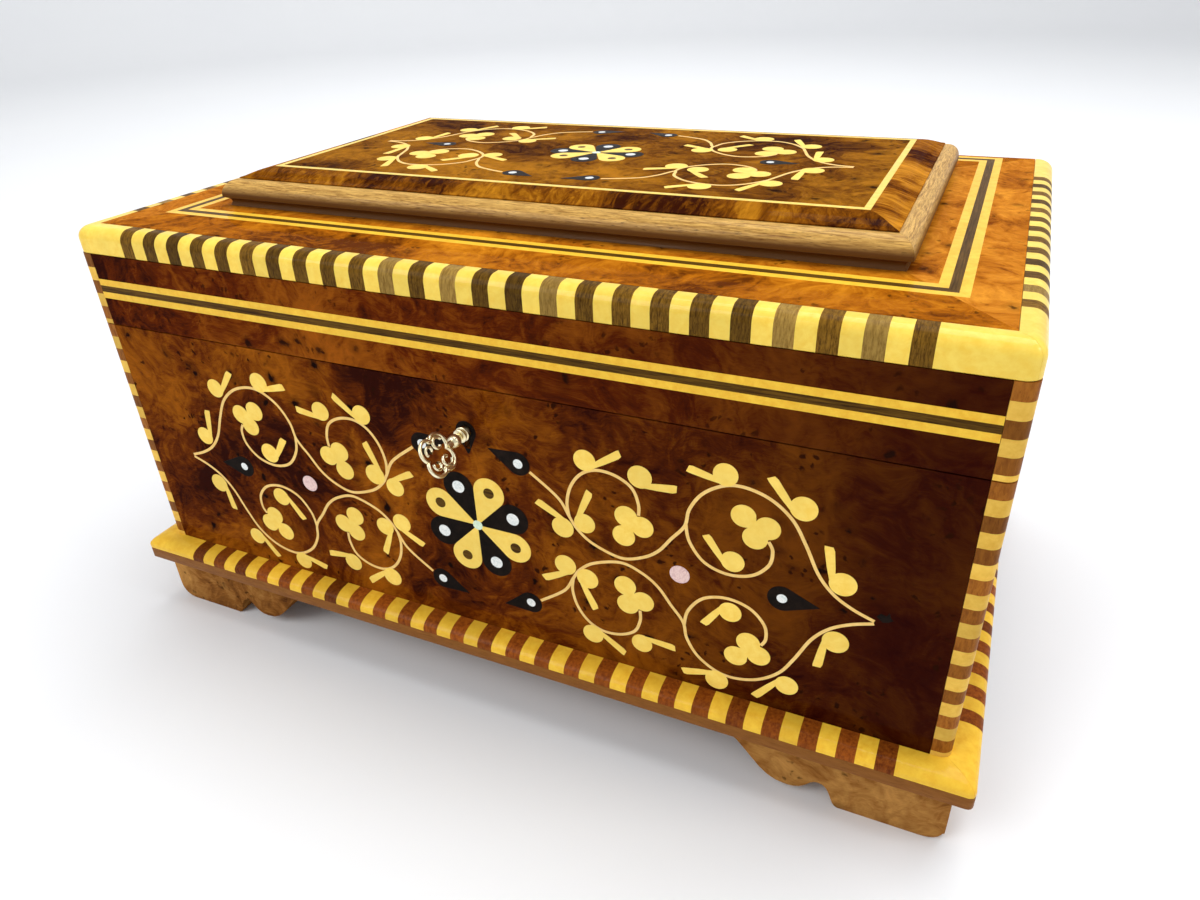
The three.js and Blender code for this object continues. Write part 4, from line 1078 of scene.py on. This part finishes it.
def make_key():
    """A gilt key: turned shank with collars, a bit, and a four-lobed wire bow with curls and beads."""
    front = -HALF_D
    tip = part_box("key")[1].y / MM - MIDDLE
    bow_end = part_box("key")[0].y / MM - MIDDLE
    bow_wire, bow_reach = 0.55, 5.9
    waist, lobe, lobe_fullness = 4.2, 1.8, 0.75
    stretch_y, stretch_z = 1.08, 1.10
    bow_middle = bow_end + bow_reach + bow_wire
    profile = [(bow_middle + bow_reach - 0.8, 0.9), (bow_middle + bow_reach, 1.0)]
    for y, half, radius in ((-6.3, 1.75, 2.1), (-3.3, 0.55, 2.25), (-1.9, 0.6, 2.4)):
        profile += bead(front + y, half, radius)
    profile += [(front - 1.0, 1.3), (tip - 0.3, 1.3), (tip, 1.0)]
    parts = [turned_rod(profile)]
    frame_curve = []
    for i in range(96):
        a = 2 * math.pi * i / 96
        reach = waist + lobe * abs(math.sin(2 * a)) ** lobe_fullness
        frame_curve.append((bow_middle + reach * stretch_y * math.cos(a), reach * stretch_z * math.sin(a)))
    bow = [wire(frame_curve, bow_wire)]
    for lean in (-1, 1):
        bow.append(wire(curl(bow_middle + 2.2, lean * 2.6, 2.3, 0.9, 0.3, lean), 0.50, False))
        bow.append(wire(curl(bow_middle - 1.9, lean * 2.4, 1.7, 0.7, math.pi - 0.6, -lean), 0.42, False))
        bow.append(bead_ring(bow_middle, lean * 4.9))
    for bow_points, bow_faces in bow:
        parts.append(([turned_about_shank(point) for point in bow_points], bow_faces))
    bit_half, bit_reach, bit_start = 0.6, 5.4, front + 5.5
    bit_plan = [(-bit_half, 0), (bit_half, 0), (bit_half, -bit_reach), (-bit_half, -bit_reach)]
    bit = [(x, y, z) for y in (bit_start, tip) for x, z in bit_plan]
    parts.append((bit, [(0, 1, 2, 3), (4, 5, 6, 7), *skin(2, 4)]))
    points, faces = [], []
    for part_points, part_faces in parts:
        start = len(points)
        points += [at(x, y, z + KEY_HEIGHT) for x, y, z in part_points]
        faces += [tuple(start + i for i in face) for face in part_faces]
    made = make_object("lock_key_gilt", points, faces, [GILT], None, True)
    fix_normals(made)
    made.data.set_sharp_from_angle(angle=math.radians(45))
    finish_piece(made, "key", ["key"])


make_key()

# ------------------------------------------------------------------ finishes of the remaining CAD nodes


def dress(names, material):
    for name in names:
        node = NODES[name]
        node.data.materials.clear()
        node.data.materials.append(material)


for side in ("left", "right"):
    dress([side + "_wall", "lid_%s_rail" % side], BURL_SIDE)
    for end in ("front", "back"):
        softened("foot_%s_%s" % (end, side), BURL_FOOT, "case", 0.5 * MM)
    dress(["hinge_case_leaf_" + side, "hinge_lid_leaf_" + side], BRASS)
dress(["front_wall", "back_wall"], BURL_FRONT)
dress(["lid_front_rail", "lid_back_rail"], BURL_RAIL)
dress(["lid_top"], BURL_TOP)
softened("plinth_board", BOARD_EDGE, "case", 0.4 * MM)
softened("bottom_board", INNER_WOOD, "case", 0.3 * MM)
softened("partition", INNER_WOOD, "case", 0.5 * MM)
softened("glass_ledge", INNER_WOOD, "case", 0.4 * MM)
softened("compartment_lining", VELVET, "case", 0.6 * MM, 3)
softened("lid_lining", VELVET, "lid", 0.8 * MM, 3)
dress(["cover_glass"], GLASS)
dress(["lock_case", "lock_bolt", "lock_follower", "lock_strike"], BRASS)
dress(["bedplate"], CASTING)
dress(["comb", "winding_key", "stop_lever"], STEEL)
dress(["spring_barrel", "cylinder", "governor_wheel", "governor_bracket", "governor_fan"], BRASS)

# ------------------------------------------------------------------ screws, pins and worm


def half_disc(u, v, radius, angle, side):
    """Half of a slotted screw head, on one side of its slot."""
    steps, slot = 8, math.asin(0.18)
    c, s = math.cos(angle), math.sin(angle)
    outline = []
    for i in range(steps + 1):
        a = slot + (math.pi - 2 * slot) * i / steps
        x, y = radius * math.cos(a), side * radius * math.sin(a)
        outline.append((u + x * c - y * s, v + x * s + y * c))
    return outline if side > 0 else outline[::-1]


def slotted_screws(name, panel, places, radius, material, lift):
    """Slotted screw heads, each turned to an angle of its own."""
    halves = []
    for u, v in places:
        angle = dice.uniform(0, math.pi)
        halves += [half_disc(u, v, radius, angle, side) for side in (1, -1)]
    flat_shapes(name, panel, halves, material, lift)


def level_panel(z, body, facing=1):
    """A level panel at a height in metres: v is the frame's y in mm, u its x, mirrored if it faces down."""
    return Panel((0, 0, z), (facing, 0, 0), (0, 1, 0), body)


def box_mm(node):
    return [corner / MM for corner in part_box(node)]


lid_below = level_panel(LID_BOTTOM * MM, "lid", -1)
for side in ("left", "right"):
    low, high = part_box("hinge_case_leaf_" + side)
    middle = (low.x + high.x) / 2 / MM
    row = BACK_Y / MM - 4.6
    places = [(middle + step, row) for step in (-11, 0, 11)]
    slotted_screws("hinge_case_screws_" + side, level_panel(RIM_Z, "case"), places, 1.5, BRASS, 0.1)
    mirrored = [(-u, v) for u, v in places]
    slotted_screws("hinge_lid_screws_" + side, lid_below, mirrored, 1.5, BRASS, 0.1)

lock_low, lock_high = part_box("lock_case")
lock_row = (lock_low.y + lock_high.y) / 2 / MM
lock_places = [(-15.2, lock_row), (15.2, lock_row)]
slotted_screws("lock_screws", level_panel(lock_high.z, "case"), lock_places, 1.2, BRASS, 0.1)
strike_row = (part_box("lock_strike")[0].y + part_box("lock_strike")[1].y) / 2 / MM
slotted_screws("strike_screws", lid_below, [(-11.4, strike_row), (11.4, strike_row)], 1.2, BRASS, 0.1)

comb_low, comb_high = box_mm("comb")
comb_row = comb_low.y + 4.2
comb_places = [(comb_low.x + 5, comb_row), (comb_high.x - 5, comb_row)]
slotted_screws("comb_screws", level_panel(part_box("comb")[1].z, "case"), comb_places, 2.0, STEEL, 0.9)
plate_low, plate_high = box_mm("bedplate")
plate_thickness = 3
plate_corners = [(x, y) for x in (plate_low.x + 4, plate_high.x - 4)
                 for y in (plate_low.y + 4, plate_high.y - 4)]
slotted_screws("bedplate_screws", level_panel((plate_low.z + plate_thickness) * MM, "case"), plate_corners,
               2.0, STEEL, 0.9)


def cylinder_pins():
    """Rows of short pins round the cylinder, each in the track of one comb tooth."""
    low, high = box_mm("cylinder")
    axis_y, axis_z = (low.y + high.y) / 2, (low.z + high.z) / 2
    tracks, drum_radius, pin_radius, reach = 18, 6.5, 0.16, 0.8
    pitch = (comb_high.x - comb_low.x) / tracks
    points, faces = [], []
    for track in range(tracks):
        x = comb_low.x + pitch * (track + 0.5)
        for _ in range(11):
            a = dice.uniform(0, 2 * math.pi)
            start = len(points)
            for radius in (drum_radius - 0.2, drum_radius + reach):
                for dx, across in ((-1, -1), (1, -1), (1, 1), (-1, 1)):
                    y = radius * math.cos(a) - across * pin_radius * math.sin(a)
                    z = radius * math.sin(a) + across * pin_radius * math.cos(a)
                    points.append(Vector((x + dx * pin_radius, axis_y + y, axis_z + z)) * MM)
            faces += skin(2, 4, start)
            faces.append((start + 4, start + 5, start + 6, start + 7))
    made = make_object("cylinder_pins", points, faces, [STEEL])
    fix_normals(made)
    finish_piece(made, "cylinder")


cylinder_pins()


def governor_worm():
    """The thread of the worm below the air brake."""
    low, high = box_mm("governor_fan")
    axis_x, axis_y = (low.x + high.x) / 2, (low.y + high.y) / 2
    bottom, pitch, turns, steps, core = low.z + 3.4, 1.44, 8, 16, 1.28
    points = []
    for i in range(turns * steps + 1):
        a = 2 * math.pi * i / steps
        z = bottom + pitch * i / steps
        for radius, rise in ((core - 0.1, -0.3), (core + 0.16, 0), (core - 0.1, 0.3)):
            x, y = axis_x + radius * math.cos(a), axis_y + radius * math.sin(a)
            points.append(Vector((x, y, z + rise)) * MM)
    last = 3 * turns * steps
    faces = [*skin(turns * steps + 1, 3), (0, 2, 1), (last, last + 1, last + 2)]
    made = make_object("governor_worm", points, faces, [BRASS])
    fix_normals(made)
    finish_piece(made, "governor_fan")


governor_worm()

# ------------------------------------------------------------------ floor, light and camera


def studio():
    """A round floor that curves up into a low wall on all sides, soft lights above and a pale sky."""
    flat, curve, top, sides = 2.4, 0.7, 1.5, 96
    profile = [(flat * i / 6, 0.0) for i in range(1, 7)]
    profile += [(flat + curve * math.sin(math.radians(a)), curve * (1 - math.cos(math.radians(a))))
                for a in range(10, 91, 10)]
    profile.append((flat + curve, top))
    points = [(0, 0, 0)]
    for radius, height in profile:
        points += [(x, y, height) for x, y in circle(0, 0, radius, sides)]
    faces = [(0, 1 + k, 1 + (k + 1) % sides) for k in range(sides)]
    faces += [face[::-1] for face in skin(len(profile), sides, 1)]
    floor = make_object("studio_floor", points, faces, [floor_material()], None, True)
    world = bpy.data.worlds.new("studio")
    world.use_nodes = True
    sky = world.node_tree.nodes["Background"]
    sky.inputs["Color"].default_value = (0.97, 0.98, 1.0, 1)
    sky.inputs["Strength"].default_value = 0.52
    bpy.context.scene.world = world
    bpy.context.scene.view_settings.view_transform = "Standard"
    soft_light("top_light", (0.2, 0.4, 1.5), 1.2, 17)
    soft_light("right_light", (1.3, 0.1, 1.0), 0.6, 6)
    soft_light("front_light", (-0.8, -1.2, 1.2), 1.0, 12.5)
    soft_light("wall_light", (-0.6, 0.9, 1.7), 1.2, 16, (-1.6, 3.0, 0.3))


def floor_material():
    n = Nodes("studio_paper", 0.6)
    n.colour(n.mix(n.noise(n.place, 3, 2.0), (0.83, 0.84, 0.86, 1), (0.86, 0.87, 0.88, 1)))
    return n.material


def soft_light(name, place, size, power, target=(0, 0, 0.08)):
    light = bpy.data.lights.new(name, "AREA")
    light.shape = "SQUARE"
    light.size = size
    light.energy = power
    made = bpy.data.objects.new(name, light)
    bpy.context.scene.collection.objects.link(made)
    made.location = place
    towards = Vector(target) - Vector(place)
    made.rotation_euler = towards.to_track_quat("-Z", "Y").to_euler()


def view_camera():
    """Just in front of the right half and above, looking down to the left, tilted a little."""
    place = (0.1353, -0.2755, 0.2330)
    yaw, pitch, roll = 0.4457, -0.5272, -0.0414
    forward = Vector((-math.sin(yaw) * math.cos(pitch), math.cos(yaw) * math.cos(pitch), math.sin(pitch)))
    level = Vector((math.cos(yaw), math.sin(yaw), 0))
    upright = level.cross(forward)
    right = level * math.cos(roll) + upright * math.sin(roll)
    up = upright * math.cos(roll) - level * math.sin(roll)
    lens = bpy.data.cameras.new("camera")
    lens.sensor_width = 36
    lens.lens = 25.99
    lens.clip_start = 0.01
    camera = bpy.data.objects.new("camera", lens)
    bpy.context.scene.collection.objects.link(camera)
    turn = Matrix((right, up, -forward)).transposed().to_4x4()
    camera.matrix_world = Matrix.Translation(place) @ turn
    bpy.context.scene.camera = camera


studio()
view_camera()
